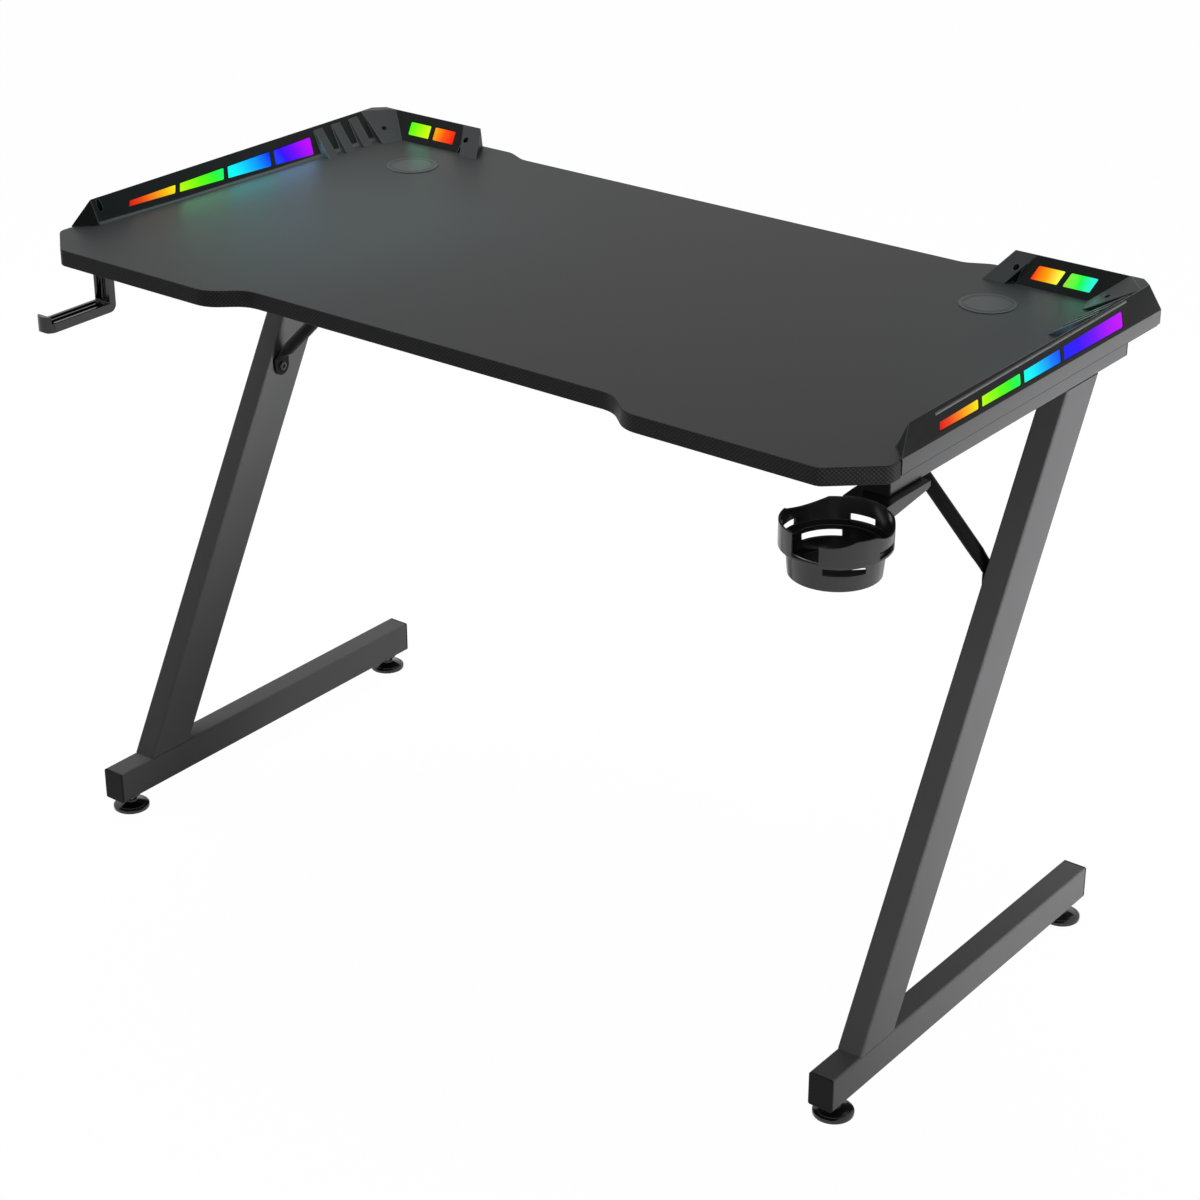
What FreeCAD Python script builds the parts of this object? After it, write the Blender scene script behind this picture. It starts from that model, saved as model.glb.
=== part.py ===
import FreeCAD, Part
import Sketcher
import itertools
import math
import os

# Gaming desk: a Z-shaped steel frame, a contoured board, two light bars, a cup holder and a headphone hook.
# +X is the user's right, -Y is the front and +Z is up. The origin is on the floor, midway between the feet.

Vector = FreeCAD.Vector
doc = FreeCAD.newDocument("gaming_desk")
sheet = doc.addObject("Spreadsheet::Sheet", "Sizes")
sheetRows = itertools.count(1)
nodes = {}


class Size:
    # A length that knows its number and the sheet expression that drives it
    def __init__(self, number, text):
        self.number = float(number)
        self.text = text

    def __float__(self):
        return self.number

    def __add__(self, other):
        other = asSize(other)
        return Size(self.number + other.number, "(%s + %s)" % (self.text, other.text))

    def __sub__(self, other):
        other = asSize(other)
        return Size(self.number - other.number, "(%s - %s)" % (self.text, other.text))

    def __mul__(self, other):
        other = asSize(other)
        return Size(self.number * other.number, "(%s * %s)" % (self.text, other.text))

    def __truediv__(self, other):
        other = asSize(other)
        return Size(self.number / other.number, "(%s / %s)" % (self.text, other.text))

    def __radd__(self, other):
        return asSize(other) + self

    def __rsub__(self, other):
        return asSize(other) - self

    def __rmul__(self, other):
        return asSize(other) * self

    def __neg__(self):
        return Size(-self.number, "(0 - %s)" % self.text)


def asSize(value):
    return value if isinstance(value, Size) else Size(value, repr(float(value)))


def root(value):
    return Size(math.sqrt(value.number), "sqrt(%s)" % value.text)


def size(alias, number):
    row = next(sheetRows)
    sheet.set("A%d" % row, alias)
    sheet.set("B%d" % row, repr(number))
    sheet.setAlias("B%d" % row, alias)
    return Size(number, "Sizes.%s" % alias)


# Board
deskHeight = size("desk_height", 750.0)
boardWidth = size("board_width", 1126.0)
boardFront = size("board_front", 293.0)
boardRear = size("board_rear", 307.0)
boardThickness = size("board_thickness", 19.0)
boardEdgeBreak = size("board_edge_break", 0.8)
frontChamferAcross = size("front_chamfer_across", 51.0)
frontChamferAlong = size("front_chamfer_along", 46.0)
rearChamfer = size("rear_chamfer", 19.0)
cornerRound = size("corner_round", 14.0)
frontCutHalf = size("front_cut_half", 250.0)
frontCutRun = size("front_cut_run", 34.0)
frontCutDepth = size("front_cut_depth", 30.0)
frontCutRound = size("front_cut_round", 38.0)
rearCutHalf = size("rear_cut_half", 317.0)
rearCutRun = size("rear_cut_run", 28.0)
rearCutDepth = size("rear_cut_depth", 14.4)
rearCutRound = size("rear_cut_round", 30.0)

# Steel frame: foot bars, leaning legs and top rails of one tube width, then the beam and its struts
frameInset = size("frame_inset", 36.0)
tubeWidth = size("tube_width", 30.0)
tubeWall = size("tube_wall", 1.5)
tubeCorner = size("tube_corner", 2.5)
footClearance = size("foot_clearance", 20.0)
footBarHeight = size("foot_bar_height", 40.0)
footBarHalf = size("foot_bar_half", 269.0)
legDepth = size("leg_depth", 66.0)
legFront = size("leg_front", 215.7)
legLean = size("leg_lean", 0.541)
railHeight = size("rail_height", 30.0)
railFront = size("rail_front", 214.0)
railRear = size("rail_rear", 259.0)
capPlate = size("cap_plate", 2.5)
plugDepth = size("plug_depth", 12.0)
fitGap = size("fit_gap", 0.1)
beamWidth = size("beam_width", 50.0)
beamHeight = size("beam_height", 25.0)
beamMiddle = size("beam_middle", 48.0)
endPlateThickness = size("end_plate_thickness", 4.0)
boltRadius = size("bolt_radius", 3.0)
boltHeadRadius = size("bolt_head_radius", 5.5)
boltHeadHeight = size("bolt_head_height", 3.0)
boltHeadClear = size("bolt_head_clear", 2.0)
boltReach = size("bolt_reach", 10.0)
strutSetback = size("strut_setback", 21.6)
strutInset = size("strut_top_inset", 203.0)
strutWidth = size("strut_width", 24.0)
strutTab = size("strut_tab", 4.0)
strutTabReach = size("strut_tab_reach", 10.0)
strutHalfWidth = size("strut_half_width", 8.2)
strutHalfDepth = size("strut_half_depth", 7.8)
strutLegReach = size("strut_leg_reach", 16.5)
strutLegRise = size("strut_leg_rise", 17.5)
strutBeamReach = size("strut_beam_reach", 19.5)
strutBeamDrop = size("strut_beam_drop", 13.0)

# Screws
screwRadius = size("screw_radius", 2.5)
screwHeadRadius = size("screw_head_radius", 5.0)
screwHeadHeight = size("screw_head_height", 3.0)
screwCover = size("screw_cover", 5.0)
driverClear = size("driver_clear", 2.0)
screwFrontInset = size("screw_front_inset", 74.5)
screwRearInset = size("screw_rear_inset", 24.5)

# Levelling feet
footEdge = size("foot_edge", 4.5)
padRadius = size("pad_radius", 22.5)
padHeight = size("pad_height", 4.5)
padDome = size("pad_dome", 4.5)
hubWall = size("hub_wall", 3.5)
hubHeight = size("hub_height", 11.5)
padFloor = size("pad_floor", 3.0)
stemRadius = size("stem_radius", 4.0)
stemHeadroom = size("stem_headroom", 13.5)
runningGap = size("running_gap", 0.05)
insertWall = size("insert_wall", 4.0)
insertLip = size("insert_lip", 4.0)
insertFlangeHeight = size("insert_flange_height", 3.0)
insertDepth = size("insert_depth", 14.0)

# Cable grommets
grommetSideInset = size("grommet_side_inset", 155.5)
grommetRearInset = size("grommet_rear_inset", 117.0)
grommetRadius = size("grommet_radius", 30.0)
grommetFlange = size("grommet_flange", 1.6)
grommetProud = size("grommet_proud", 0.8)
grommetWall = size("grommet_wall", 2.6)
grommetLedge = size("grommet_ledge", 3.0)
grommetCapHeight = size("grommet_cap_height", 4.0)

# Light bars
skirtWall = size("skirt_wall", 3.0)
skirtGap = size("skirt_gap", 2.0)
skirtSetback = size("skirt_setback", 19.0)
skirtHeight = size("skirt_height", 16.0)
barNose = size("bar_nose", 25.0)
barFrontWidth = size("bar_front_width", 22.0)
barFrontRidge = size("bar_front_ridge", 9.0)
barRise = size("bar_rise", 28.5)
barCornerWidth = size("bar_corner_width", 50.5)
barCornerRidge = size("bar_corner_ridge", 11.7)
barRearWidth = size("bar_rear_width", 43.0)
barRearRidge = size("bar_rear_ridge", 16.0)
barWall = size("bar_wall", 5.0)
barRoof = size("bar_roof", 8.0)
lipReach = size("lip_reach", 1.5)
lipRise = size("lip_rise", 3.2)
ridgeCornerCut = size("ridge_corner_cut", 13.0)
beadRadius = size("bead_radius", 1.0)
beadSink = size("bead_sink", 0.3)
beadLead = size("bead_lead", 45.0)
beadTail = size("bead_tail", 84.0)
ribLead = size("rib_lead", 160.0)
ribPitch = size("rib_pitch", 32.0)
ribWidth = size("rib_width", 15.0)
ribSlant = size("rib_slant", 18.0)
ribFoot = size("rib_foot", 59.0)
ribTopInset = size("rib_top_inset", 5.5)
ribTopDrop = size("rib_top_drop", 2.5)
cornerBlockLead = size("corner_block_lead", 71.0)
cornerBlockSlant = size("corner_block_slant", 22.0)
cornerBlockFoot = size("corner_block_foot", 67.0)
cornerBlockHeel = size("corner_block_heel", 76.0)
cornerBlockReach = size("corner_block_reach", 45.0)
cornerBlockTop = size("corner_block_top", 40.0)
endBlockOuter = size("end_block_outer", 154.0)
endBlockInner = size("end_block_inner", 181.5)
endBlockNose = size("end_block_nose", 21.0)
endBlockReach = size("end_block_reach", 51.0)
channelLead = size("channel_lead", 45.0)
channelTail = size("channel_tail", 85.0)
rearChannelStart = size("rear_channel_start", 68.0)
rearChannelEnd = size("rear_channel_end", 156.0)
innerWindowLead = size("inner_window_lead", 54.0)
innerWindowTail = size("inner_window_tail", 158.6)
outerWindowLead = size("outer_window_lead", 50.0)
outerWindowTail = size("outer_window_tail", 98.0)
rearWindowLead = size("rear_window_lead", 76.0)
rearWindowTail = size("rear_window_tail", 149.0)
innerWindowLean = size("inner_window_lean", 22.0)
outerWindowLean = size("outer_window_lean", 10.0)
rearWindowLean = size("rear_window_lean", 9.0)
windowSpace = size("window_space", 7.0)
windowDepth = size("window_depth", 2.2)
windowSink = size("window_sink", 0.6)
windowGap = size("window_gap", 0.2)
barScrewRadius = size("bar_screw_radius", 2.0)
barScrewHead = size("bar_screw_head", 3.2)
barScrewSeat = size("bar_screw_seat", 7.0)
barScrewHeadHeight = size("bar_screw_head_height", 2.4)
frontScrewInset = size("front_screw_inset", 13.0)
frontScrewLead = size("front_screw_lead", 10.0)
cornerScrewInset = size("corner_screw_inset", 49.5)
cornerScrewReach = size("corner_screw_reach", 48.5)
endScrewInset = size("end_screw_inset", 11.0)
endScrewReach = size("end_screw_reach", 32.0)
ledWidth = size("led_width", 8.0)
ledMargin = size("led_margin", 3.0)
ledEndGap = size("led_end_gap", 8.0)
ledBoard = size("led_board", 1.2)
ledChip = size("led_chip", 5.0)
ledChipHeight = size("led_chip_height", 1.6)
ledPitch = size("led_pitch", 36.0)

# Cup holder and headphone hook, hung under the front ends of the rails
hangScrewInset = size("hang_screw_inset", 12.0)
hangScrewPitch = size("hang_screw_pitch", 22.0)
hangScrewSeat = size("hang_screw_seat", 4.0)
hangMargin = size("hang_margin", 10.5)
cupOverhang = size("cup_overhang", 67.0)
cupDrop = size("cup_drop", 3.0)
cupRadius = size("cup_radius", 55.0)
cupWall = size("cup_wall", 2.5)
cupShelf = size("cup_shelf", 7.0)
cupTaper = size("cup_taper", 2.5)
cupRingHeight = size("cup_ring_height", 28.0)
cupBowlHeight = size("cup_bowl_height", 26.0)
cupStepRise = size("cup_step_rise", 2.5)
handleGap = size("handle_gap", 30.0)
rimDip = size("rim_dip", 6.0)
rimDipRadius = size("rim_dip_radius", 60.0)
slotHeight = size("slot_height", 7.0)
lowSlotWidth = size("low_slot_width", 41.0)
ringSlotWidth = size("ring_slot_width", 27.0)
drainStart = size("drain_start", 16.0)
drainLength = size("drain_length", 20.0)
armWidth = size("arm_width", 50.0)
armThickness = size("arm_thickness", 8.0)
armDrop = size("arm_drop", 12.0)
armToe = size("arm_toe", 5.0)
hookWidth = size("hook_width", 25.0)
hookOverhang = size("hook_overhang", 104.0)
hookDrop = size("hook_drop", 47.0)
hookArm = size("hook_arm", 11.5)
hookPost = size("hook_post", 10.0)
hookPostOverhang = size("hook_post_overhang", 9.0)
hookFlange = size("hook_flange", 6.0)
hookLip = size("hook_lip", 8.0)
hookLipDepth = size("hook_lip_depth", 7.0)
hookHeelRound = size("hook_heel_round", 9.0)
hookToeRound = size("hook_toe_round", 3.0)
hookGroove = size("hook_groove", 6.0)
hookGrooveDepth = size("hook_groove_depth", 3.0)
hookGrooveSpace = size("hook_groove_space", 3.0)
hookGrooveEnd = size("hook_groove_end", 4.0)

# Places worked out from the driving sizes
halfWidth = boardWidth / 2
underBoard = deskHeight - boardThickness
frameHalf = halfWidth - frameInset
frameInner = frameHalf - tubeWidth / 2
frameOuter = frameHalf + tubeWidth / 2
footTop = footClearance + footBarHeight
railBottom = underBoard - railHeight
skirtFront = boardFront - frontChamferAlong - skirtSetback
barFront = skirtFront + skirtGap
screwBite = boardThickness - screwCover
railPlugEnd = -railFront + capPlate + plugDepth
firstScrew = railPlugEnd + screwFrontInset
lastScrew = railRear - capPlate - plugDepth - screwRearInset
railScrewPlaces = [firstScrew + (lastScrew - firstScrew) * index / 3 for index in range(4)]
hangPlaces = [railPlugEnd + hangScrewInset, railPlugEnd + hangScrewInset + hangScrewPitch]
hangRear = hangPlaces[1] + hangMargin
grommetX = halfWidth - grommetSideInset
grommetY = boardRear - grommetRearInset

sketchPlanes = {"X": "YZ_Plane", "Y": "XZ_Plane", "Z": "XY_Plane"}
overshoot = 1.0


def point(x, y, z):
    return Vector(float(x), float(y), float(z))


def bind(item, **values):
    for name, value in values.items():
        item.setExpression(name.replace("__", "."), asSize(value).text)
    return item


def keep(label, item):
    item.Label = label
    nodes[label] = item


def outlineSketch(body, axis, outline, offset):
    # A closed outline of straight edges, each corner held by its own two distances
    sketch = body.newObject("Sketcher::SketchObject", body.Name + "_outline")
    plane = [f for f in body.Origin.OriginFeatures if f.Role == sketchPlanes[axis]][0]
    sketch.AttachmentSupport = [(plane, "")]
    sketch.MapMode = "FlatFace"
    bind(sketch, AttachmentOffset__Base__z=offset)
    outline = [(asSize(across), asSize(up)) for across, up in outline]
    corners = [point(across, up, 0) for across, up in outline]
    count = len(corners)
    for index in range(count):
        sketch.addGeometry(Part.LineSegment(corners[index], corners[(index + 1) % count]), False)
    for index in range(count):
        sketch.addConstraint(Sketcher.Constraint("Coincident", index, 2, (index + 1) % count, 1))
    for index, (across, up) in enumerate(outline):
        for kind, value in (("DistanceX", across), ("DistanceY", up)):
            number = sketch.addConstraint(Sketcher.Constraint(kind, index, 1, float(value)))
            sketch.setExpression("Constraints[%d]" % number, value.text)
    return sketch


def extrude(name, axis, outline, low, high):
    # A body padded along one axis from low to high; the XZ plane faces -Y, so there it starts at high
    low, high = asSize(low), asSize(high)
    body = doc.addObject("PartDesign::Body", name)
    sketch = outlineSketch(body, axis, outline, -high if axis == "Y" else low)
    pad = body.newObject("PartDesign::Pad", name + "_pad")
    pad.Profile = sketch
    bind(pad, Length=high - low)
    doc.recompute()
    return body


def hollow(body, axis, outline, low, high):
    # A pocket of the given outline, from low to high along the axis
    low, high = asSize(low), asSize(high)
    before = body.Shape.Volume
    sketch = outlineSketch(body, axis, outline, -low if axis == "Y" else high)
    pocket = body.newObject("PartDesign::Pocket", body.Name + "_pocket")
    pocket.Profile = sketch
    bind(pocket, Length=high - low)
    doc.recompute()
    if body.Shape.Volume >= before:
        raise RuntimeError("%s: the pocket removed nothing" % body.Name)
    return body


def revolve(name, outline, x, y):
    # A body turned about a vertical axis from its half section
    body = doc.addObject("PartDesign::Body", name)
    bind(body, Placement__Base__x=x, Placement__Base__y=y)
    sketch = outlineSketch(body, "Y", outline, 0)
    turned = body.newObject("PartDesign::Revolution", name + "_turned")
    turned.Profile = sketch
    turned.ReferenceAxis = (sketch, ["V_Axis"])
    turned.Angle = 360.0
    doc.recompute()
    return body


def soften(body, radius, picked, kind="Fillet"):
    # A fillet or chamfer on the edges of the body's tip that the picked test accepts
    tip = body.Tip
    names = ["Edge%d" % (i + 1) for i, edge in enumerate(tip.Shape.Edges) if picked(edge)]
    feature = body.newObject("PartDesign::" + kind, "%s_%s" % (body.Name, kind.lower()))
    feature.Base = (tip, names)
    bind(feature, **{"Radius" if kind == "Fillet" else "Size": radius})
    doc.recompute()
    return body


def runsAlong(*direction):
    # Accepts straight edges parallel to a direction
    direction = Vector(*direction).normalize()

    def test(edge):
        along = edge.lastVertex().Point - edge.firstVertex().Point
        return along.Length > 1e-6 and abs(along.normalize().dot(direction)) > 0.9999
    return test


def upright(places):
    # Accepts vertical edges that stand at one of the given places, on either side
    vertical = runsAlong(0, 0, 1)
    spots = [(abs(float(x)), float(y)) for x, y in places]

    def test(edge):
        at = edge.firstVertex().Point
        return vertical(edge) and any(abs(abs(at.x) - x) + abs(at.y - y) < 0.01 for x, y in spots)
    return test


def crosswise(y, z):
    # Accepts the edge along X at the given place
    along = runsAlong(1, 0, 0)

    def test(edge):
        at = edge.firstVertex().Point
        return along(edge) and abs(at.y - float(y)) + abs(at.z - float(z)) < 0.01
    return test


def rectangle(left, bottom, right, top):
    return [(left, bottom), (right, bottom), (right, top), (left, top)]


def block(name, low, high):
    # A box from its low corner to its high corner
    item = doc.addObject("Part::Box", name)
    low = [asSize(value) for value in low]
    high = [asSize(value) for value in high]
    bind(item, Length=high[0] - low[0], Width=high[1] - low[1], Height=high[2] - low[2])
    return bind(item, Placement__Base__x=low[0], Placement__Base__y=low[1], Placement__Base__z=low[2])


def rod(name, radius, length, base, axis=(0, 0, 1)):
    # A cylinder that starts at base and runs along an axis
    item = doc.addObject("Part::Cylinder", name)
    item.Placement = FreeCAD.Placement(Vector(), FreeCAD.Rotation(Vector(0, 0, 1), Vector(*axis)))
    bind(item, Radius=radius, Height=length)
    return bind(item, Placement__Base__x=base[0], Placement__Base__y=base[1], Placement__Base__z=base[2])


def fuse(name, items):
    item = doc.addObject("Part::MultiFuse", name)
    item.Shapes = list(items)
    item.Refine = True
    return item


def cut(name, base, tools):
    item = doc.addObject("Part::Cut", name)
    item.Base = base
    item.Tool = tools[0] if len(tools) == 1 else group(name + "_tools", tools)
    return item


def group(name, items):
    item = doc.addObject("Part::Compound", name)
    item.Links = list(items)
    return item


def mirrored(name, source):
    # The same piece on the user's left
    item = doc.addObject("Part::Mirroring", name)
    item.Source = source
    item.Normal = Vector(1, 0, 0)
    return item


def solid(name, shape):
    # A piece whose faceted form is worked out here from the sheet's sizes
    item = doc.addObject("Part::Feature", name)
    item.Shape = shape
    return item


def bothSides(label, piece):
    # One node for each side, from the piece modelled on the right
    keep("right_" + label, piece)
    keep("left_" + label, mirrored("left_" + label, piece))


def pairedGroup(label, items):
    # One node for a set of like pieces and their mirrors
    keep(label, group(label, items + [mirrored(item.Name + "_left", item) for item in items]))


def tube(name, axis, across, low, high, drop, rise):
    # A rounded rectangular tube along X or Y, open at both ends
    left, right = across
    body = extrude(name, axis, rectangle(left, drop, right, rise), low, high)
    soften(body, tubeCorner, runsAlong(1, 0, 0) if axis == "X" else runsAlong(0, 1, 0))
    bore = rectangle(left + tubeWall, drop + tubeWall, right - tubeWall, rise - tubeWall)
    return hollow(body, axis, bore, low, high)


def wallHole(name, radius, x, y, z):
    # A hole up through a level tube wall whose lower face is at z
    return rod(name, radius, tubeWall + overshoot * 2, (x, y, z - overshoot))


def sideHole(name, radius, thickness, x, y, z):
    # A hole along X through an upright wall whose inboard face is at x
    return rod(name, radius, thickness + overshoot * 2, (x - overshoot, y, z), (1, 0, 0))


def endCap(name, face, inward, drop, rise):
    # A cap with a plate over the tube's end and a plug inside it; inward is 1 or -1 along Y
    seat = face + capPlate * inward
    plateEnds = sorted([asSize(face), seat], key=float)
    plate = extrude(name + "_plate", "Y", rectangle(frameInner, drop, frameOuter, rise), *plateEnds)
    soften(plate, tubeCorner, runsAlong(0, 1, 0))
    inset = tubeWall + fitGap
    plugEnds = sorted([seat, seat + plugDepth * inward], key=float)
    plug = block(name + "_plug", (frameInner + inset, plugEnds[0], drop + inset),
                 (frameOuter - inset, plugEnds[1], rise - inset))
    return fuse(name, [plate, plug])


def headed(name, radius, headRadius, headHeight, base, length, axis=(0, 0, 1)):
    # A screw or bolt: the head lies behind base and the shank runs from base along the axis
    head = rod(name + "_head", headRadius, headHeight, base, [-a for a in axis])
    shank = rod(name + "_shank", radius, length, base, axis)
    return fuse(name, [head, shank])


# Desktop board: contoured front and rear, stepped in along the sides for the light bars' skirts
def boardOutline():
    # The right half from the front's middle to the rear's middle, then its mirror
    innerEdge = halfWidth - skirtWall
    right = [
        (frontCutHalf, -boardFront + frontCutDepth),
        (frontCutHalf + frontCutRun, -boardFront),
        (halfWidth - frontChamferAcross, -boardFront),
        (halfWidth, -boardFront + frontChamferAlong),
        (halfWidth, -barFront),
        (innerEdge, -barFront),
        (innerEdge, boardRear - rearChamfer),
        (halfWidth - rearChamfer, boardRear),
        (rearCutHalf + rearCutRun, boardRear),
        (rearCutHalf, boardRear - rearCutDepth),
    ]
    return right + [(-across, along) for across, along in reversed(right)]


def frontRim(edge):
    # Accepts the edges round the top and bottom faces, in front of the skirts
    heights = [vertex.Point.z for vertex in edge.Vertexes]
    level = max(heights) - min(heights) < 1e-6
    return level and max(vertex.Point.y for vertex in edge.Vertexes) < float(-barFront) - 0.01


corners = boardOutline()
board = extrude("board_blank", "Z", corners, underBoard, deskHeight)
soften(board, frontCutRound, upright(corners[0:2]))
soften(board, rearCutRound, upright(corners[8:10]))
soften(board, cornerRound, upright(corners[2:4]))
soften(board, boardEdgeBreak, frontRim, "Chamfer")
boardHoles = []
for side in (-1, 1):
    boardHoles.append(rod("grommet_bore_%d" % (side + 1), grommetRadius, boardThickness + overshoot * 2,
                          (grommetX * side, grommetY, underBoard - overshoot)))
    for index, along in enumerate(railScrewPlaces):
        boardHoles.append(rod("board_pilot_%d_%d" % (side + 1, index), screwRadius + fitGap, screwBite + fitGap,
                              (frameHalf * side, along, underBoard)))

# Light bar: a roof-shaped moulding that runs back along the side, round the corner and along the rear edge
nose = -barFront + barNose
ridgeHeight = deskHeight + barRise
rearEndX = halfWidth - endBlockOuter - endBlockNose / 2
frontOuter = point(halfWidth, -barFront, deskHeight)
frontInner = point(halfWidth - barFrontWidth, nose, deskHeight)
frontRidge = point(halfWidth - barFrontRidge, nose, ridgeHeight)
cornerOuter = point(halfWidth, boardRear, deskHeight)
cornerInner = point(halfWidth - barCornerWidth, boardRear - barRearWidth, deskHeight)
cornerRidge = point(halfWidth - barCornerRidge, boardRear - barRearRidge, ridgeHeight)
rearOuter = point(rearEndX, boardRear, deskHeight)
rearInner = point(rearEndX, boardRear - barRearWidth, deskHeight)
rearRidge = point(rearEndX, boardRear - barRearRidge, ridgeHeight)
sideRidge = (frontRidge, cornerRidge)
sideFoot = (frontInner, cornerInner)
sideBack = (frontOuter, cornerOuter)
rearFoot = (cornerInner, rearInner)
rearBack = (cornerOuter, rearOuter)
rearCrest = (cornerRidge, rearRidge)


def ring(*corners):
    return Part.makePolygon(list(corners) + [corners[0]])


def wedge(first, second):
    # A solid between two triangles, with straight edges from corner to corner
    return Part.makeLoft([ring(*first), ring(*second)], True, True)


def between(line, share):
    return line[0] + (line[1] - line[0]) * share


def shareAtY(line, along):
    return (float(along) - line[0].y) / (line[1].y - line[0].y)


def shareAtX(line, across):
    return (float(across) - line[0].x) / (line[1].x - line[0].x)


def endBlockSection(top, rear):
    # A section of the block at the rear bar's inboard end: its nose leans towards the middle
    return (point(top - endBlockNose, boardRear - endBlockReach, deskHeight),
            point(top, boardRear - barRearRidge, ridgeHeight),
            point(rear, boardRear, deskHeight))


def cornerBlock():
    # The raised block that covers the inner corner and leans back up to the ridge
    start = boardRear - cornerBlockLead
    frontTop = between(sideRidge, shareAtY(sideRidge, start + cornerBlockSlant))
    frontFoot = point(halfWidth - cornerBlockFoot, start, deskHeight)
    rearFootPoint = point(halfWidth - cornerBlockHeel, boardRear - cornerBlockReach, deskHeight)
    rearTop = point(halfWidth - cornerBlockTop, boardRear - barRearRidge, ridgeHeight)
    face = wedge((frontFoot, frontTop, point(frontTop.x, frontTop.y, deskHeight)),
                 (rearFootPoint, rearTop, point(rearTop.x, rearTop.y, deskHeight)))
    return face.fuse(Part.Face(ring(frontTop, cornerRidge, rearTop)).extrude(point(0, 0, -barRise)))


def footLip():
    # A small flare along the foot of the inner slope
    lip = point(lipReach, 0, 0)
    share = float(lipRise / barRise)
    return wedge(*[(foot - lip, between((foot, crest), share), foot + lip)
                   for foot, crest in zip(sideFoot, sideRidge)])


def bead():
    # A thin round bead along the outer slope, above the windows
    ends = []
    for along, up in ((nose + beadLead, 0.78), (boardRear - beadTail, 0.89)):
        low = between(sideBack, shareAtY(sideBack, along))
        high = between(sideRidge, shareAtY(sideRidge, along))
        ends.append(between((low, high), up) - point(beadSink, 0, 0))
    return Part.makeCylinder(float(beadRadius), (ends[1] - ends[0]).Length, ends[0], ends[1] - ends[0])


def rib(index):
    # A slanted fin that leans back up the inner slope and stops below the ridge
    start = boardRear - ribLead + ribPitch * index
    crest = between(sideRidge, shareAtY(sideRidge, start + ribSlant))
    top = point(crest.x - ribTopInset, start + ribSlant, ridgeHeight - ribTopDrop)
    foot = point(halfWidth - ribFoot, start, deskHeight)
    heel = point(crest.x, start + ribSlant / 2, deskHeight)
    return Part.Face(ring(foot, top, heel)).extrude(point(0, ribWidth, 0))


def cornerFacet():
    # The outer rear corner is cut back in one facet, from the board's chamfer up past the ridge's corner
    start = point(halfWidth, boardRear - rearChamfer, deskHeight)
    stop = point(halfWidth - rearChamfer, boardRear, deskHeight)
    sideways = (stop - start).normalize()
    outward = sideways.cross(cornerRidge - point(0, ridgeCornerCut, 0) - start).normalize()
    outward = outward if outward.x > 0 else -outward
    upward = outward.cross(sideways)
    centre = between((start, stop), 0.5)
    reach = float(barCornerWidth)
    spots = [centre + (sideways * a + upward * b) * reach for a, b in ((-1, -1), (1, -1), (1, 1), (-1, 1))]
    return Part.Face(ring(*spots)).extrude(outward * reach)


def channel(foot, back, crest, shares):
    # The hollow under the roof for the light strip, open towards the board
    sections = []
    for footShare, backShare, crestShare in shares:
        low = between(foot, footShare)
        out = between(back, backShare)
        top = between(crest, crestShare) - point(0, 0, barRoof)
        inset = (out - low).normalize() * float(barWall)
        sections.append((low + inset, out - inset, top))
    return wedge(*sections)


sideChannel = (nose + channelLead, boardRear - channelTail)
rearChannel = (halfWidth - rearChannelStart, halfWidth - rearChannelEnd)
sideShares = [[shareAtY(line, along) for line in (sideFoot, sideBack, sideRidge)] for along in sideChannel]
rearShares = [[shareAtX(line, across) for line in (rearFoot, rearBack, rearCrest)] for across in rearChannel]
barSolid = fuse("bar_solid", [
    solid("bar_side", wedge((frontOuter, frontInner, frontRidge), (cornerOuter, cornerInner, cornerRidge))),
    solid("bar_rear", wedge((cornerOuter, cornerInner, cornerRidge), (rearOuter, rearInner, rearRidge))),
    solid("bar_end", wedge(
        endBlockSection(halfWidth - endBlockOuter, halfWidth - endBlockOuter),
        endBlockSection(halfWidth - endBlockInner, halfWidth - endBlockInner + endBlockNose / 2))),
    solid("bar_corner", cornerBlock()),
    solid("bar_lip", footLip()),
    solid("bar_bead", bead()),
    block("bar_skirt", (halfWidth - skirtWall, -skirtFront, deskHeight - skirtHeight),
          (halfWidth, boardRear - rearChamfer, deskHeight)),
] + [solid("bar_rib_%d" % index, rib(index)) for index in range(3)])
barCuts = [solid("bar_facet", cornerFacet()),
           solid("bar_side_channel", channel(sideFoot, sideBack, sideRidge, sideShares)),
           solid("bar_rear_channel", channel(rearFoot, rearBack, rearCrest, rearShares))]

# Light windows: a row on each slope, as relative widths, shares of the slope at both edges and a lean
windowRows = [
    (sideFoot, sideBack, sideRidge, shareAtY, nose + innerWindowLead, boardRear - innerWindowTail,
     (72, 71, 71, 64), (0.34, 0.17), (0.53, 0.72), innerWindowLean),
    (sideBack, sideFoot, sideRidge, shareAtY, nose + outerWindowLead, boardRear - outerWindowTail,
     (71, 74, 73, 123), (0.20, 0.14), (0.46, 0.66), outerWindowLean),
    (rearFoot, rearBack, rearCrest, shareAtX, halfWidth - rearWindowLead, halfWidth - rearWindowTail,
     (33, 33), (0.25, 0.25), (0.70, 0.70), rearWindowLean),
]


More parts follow.
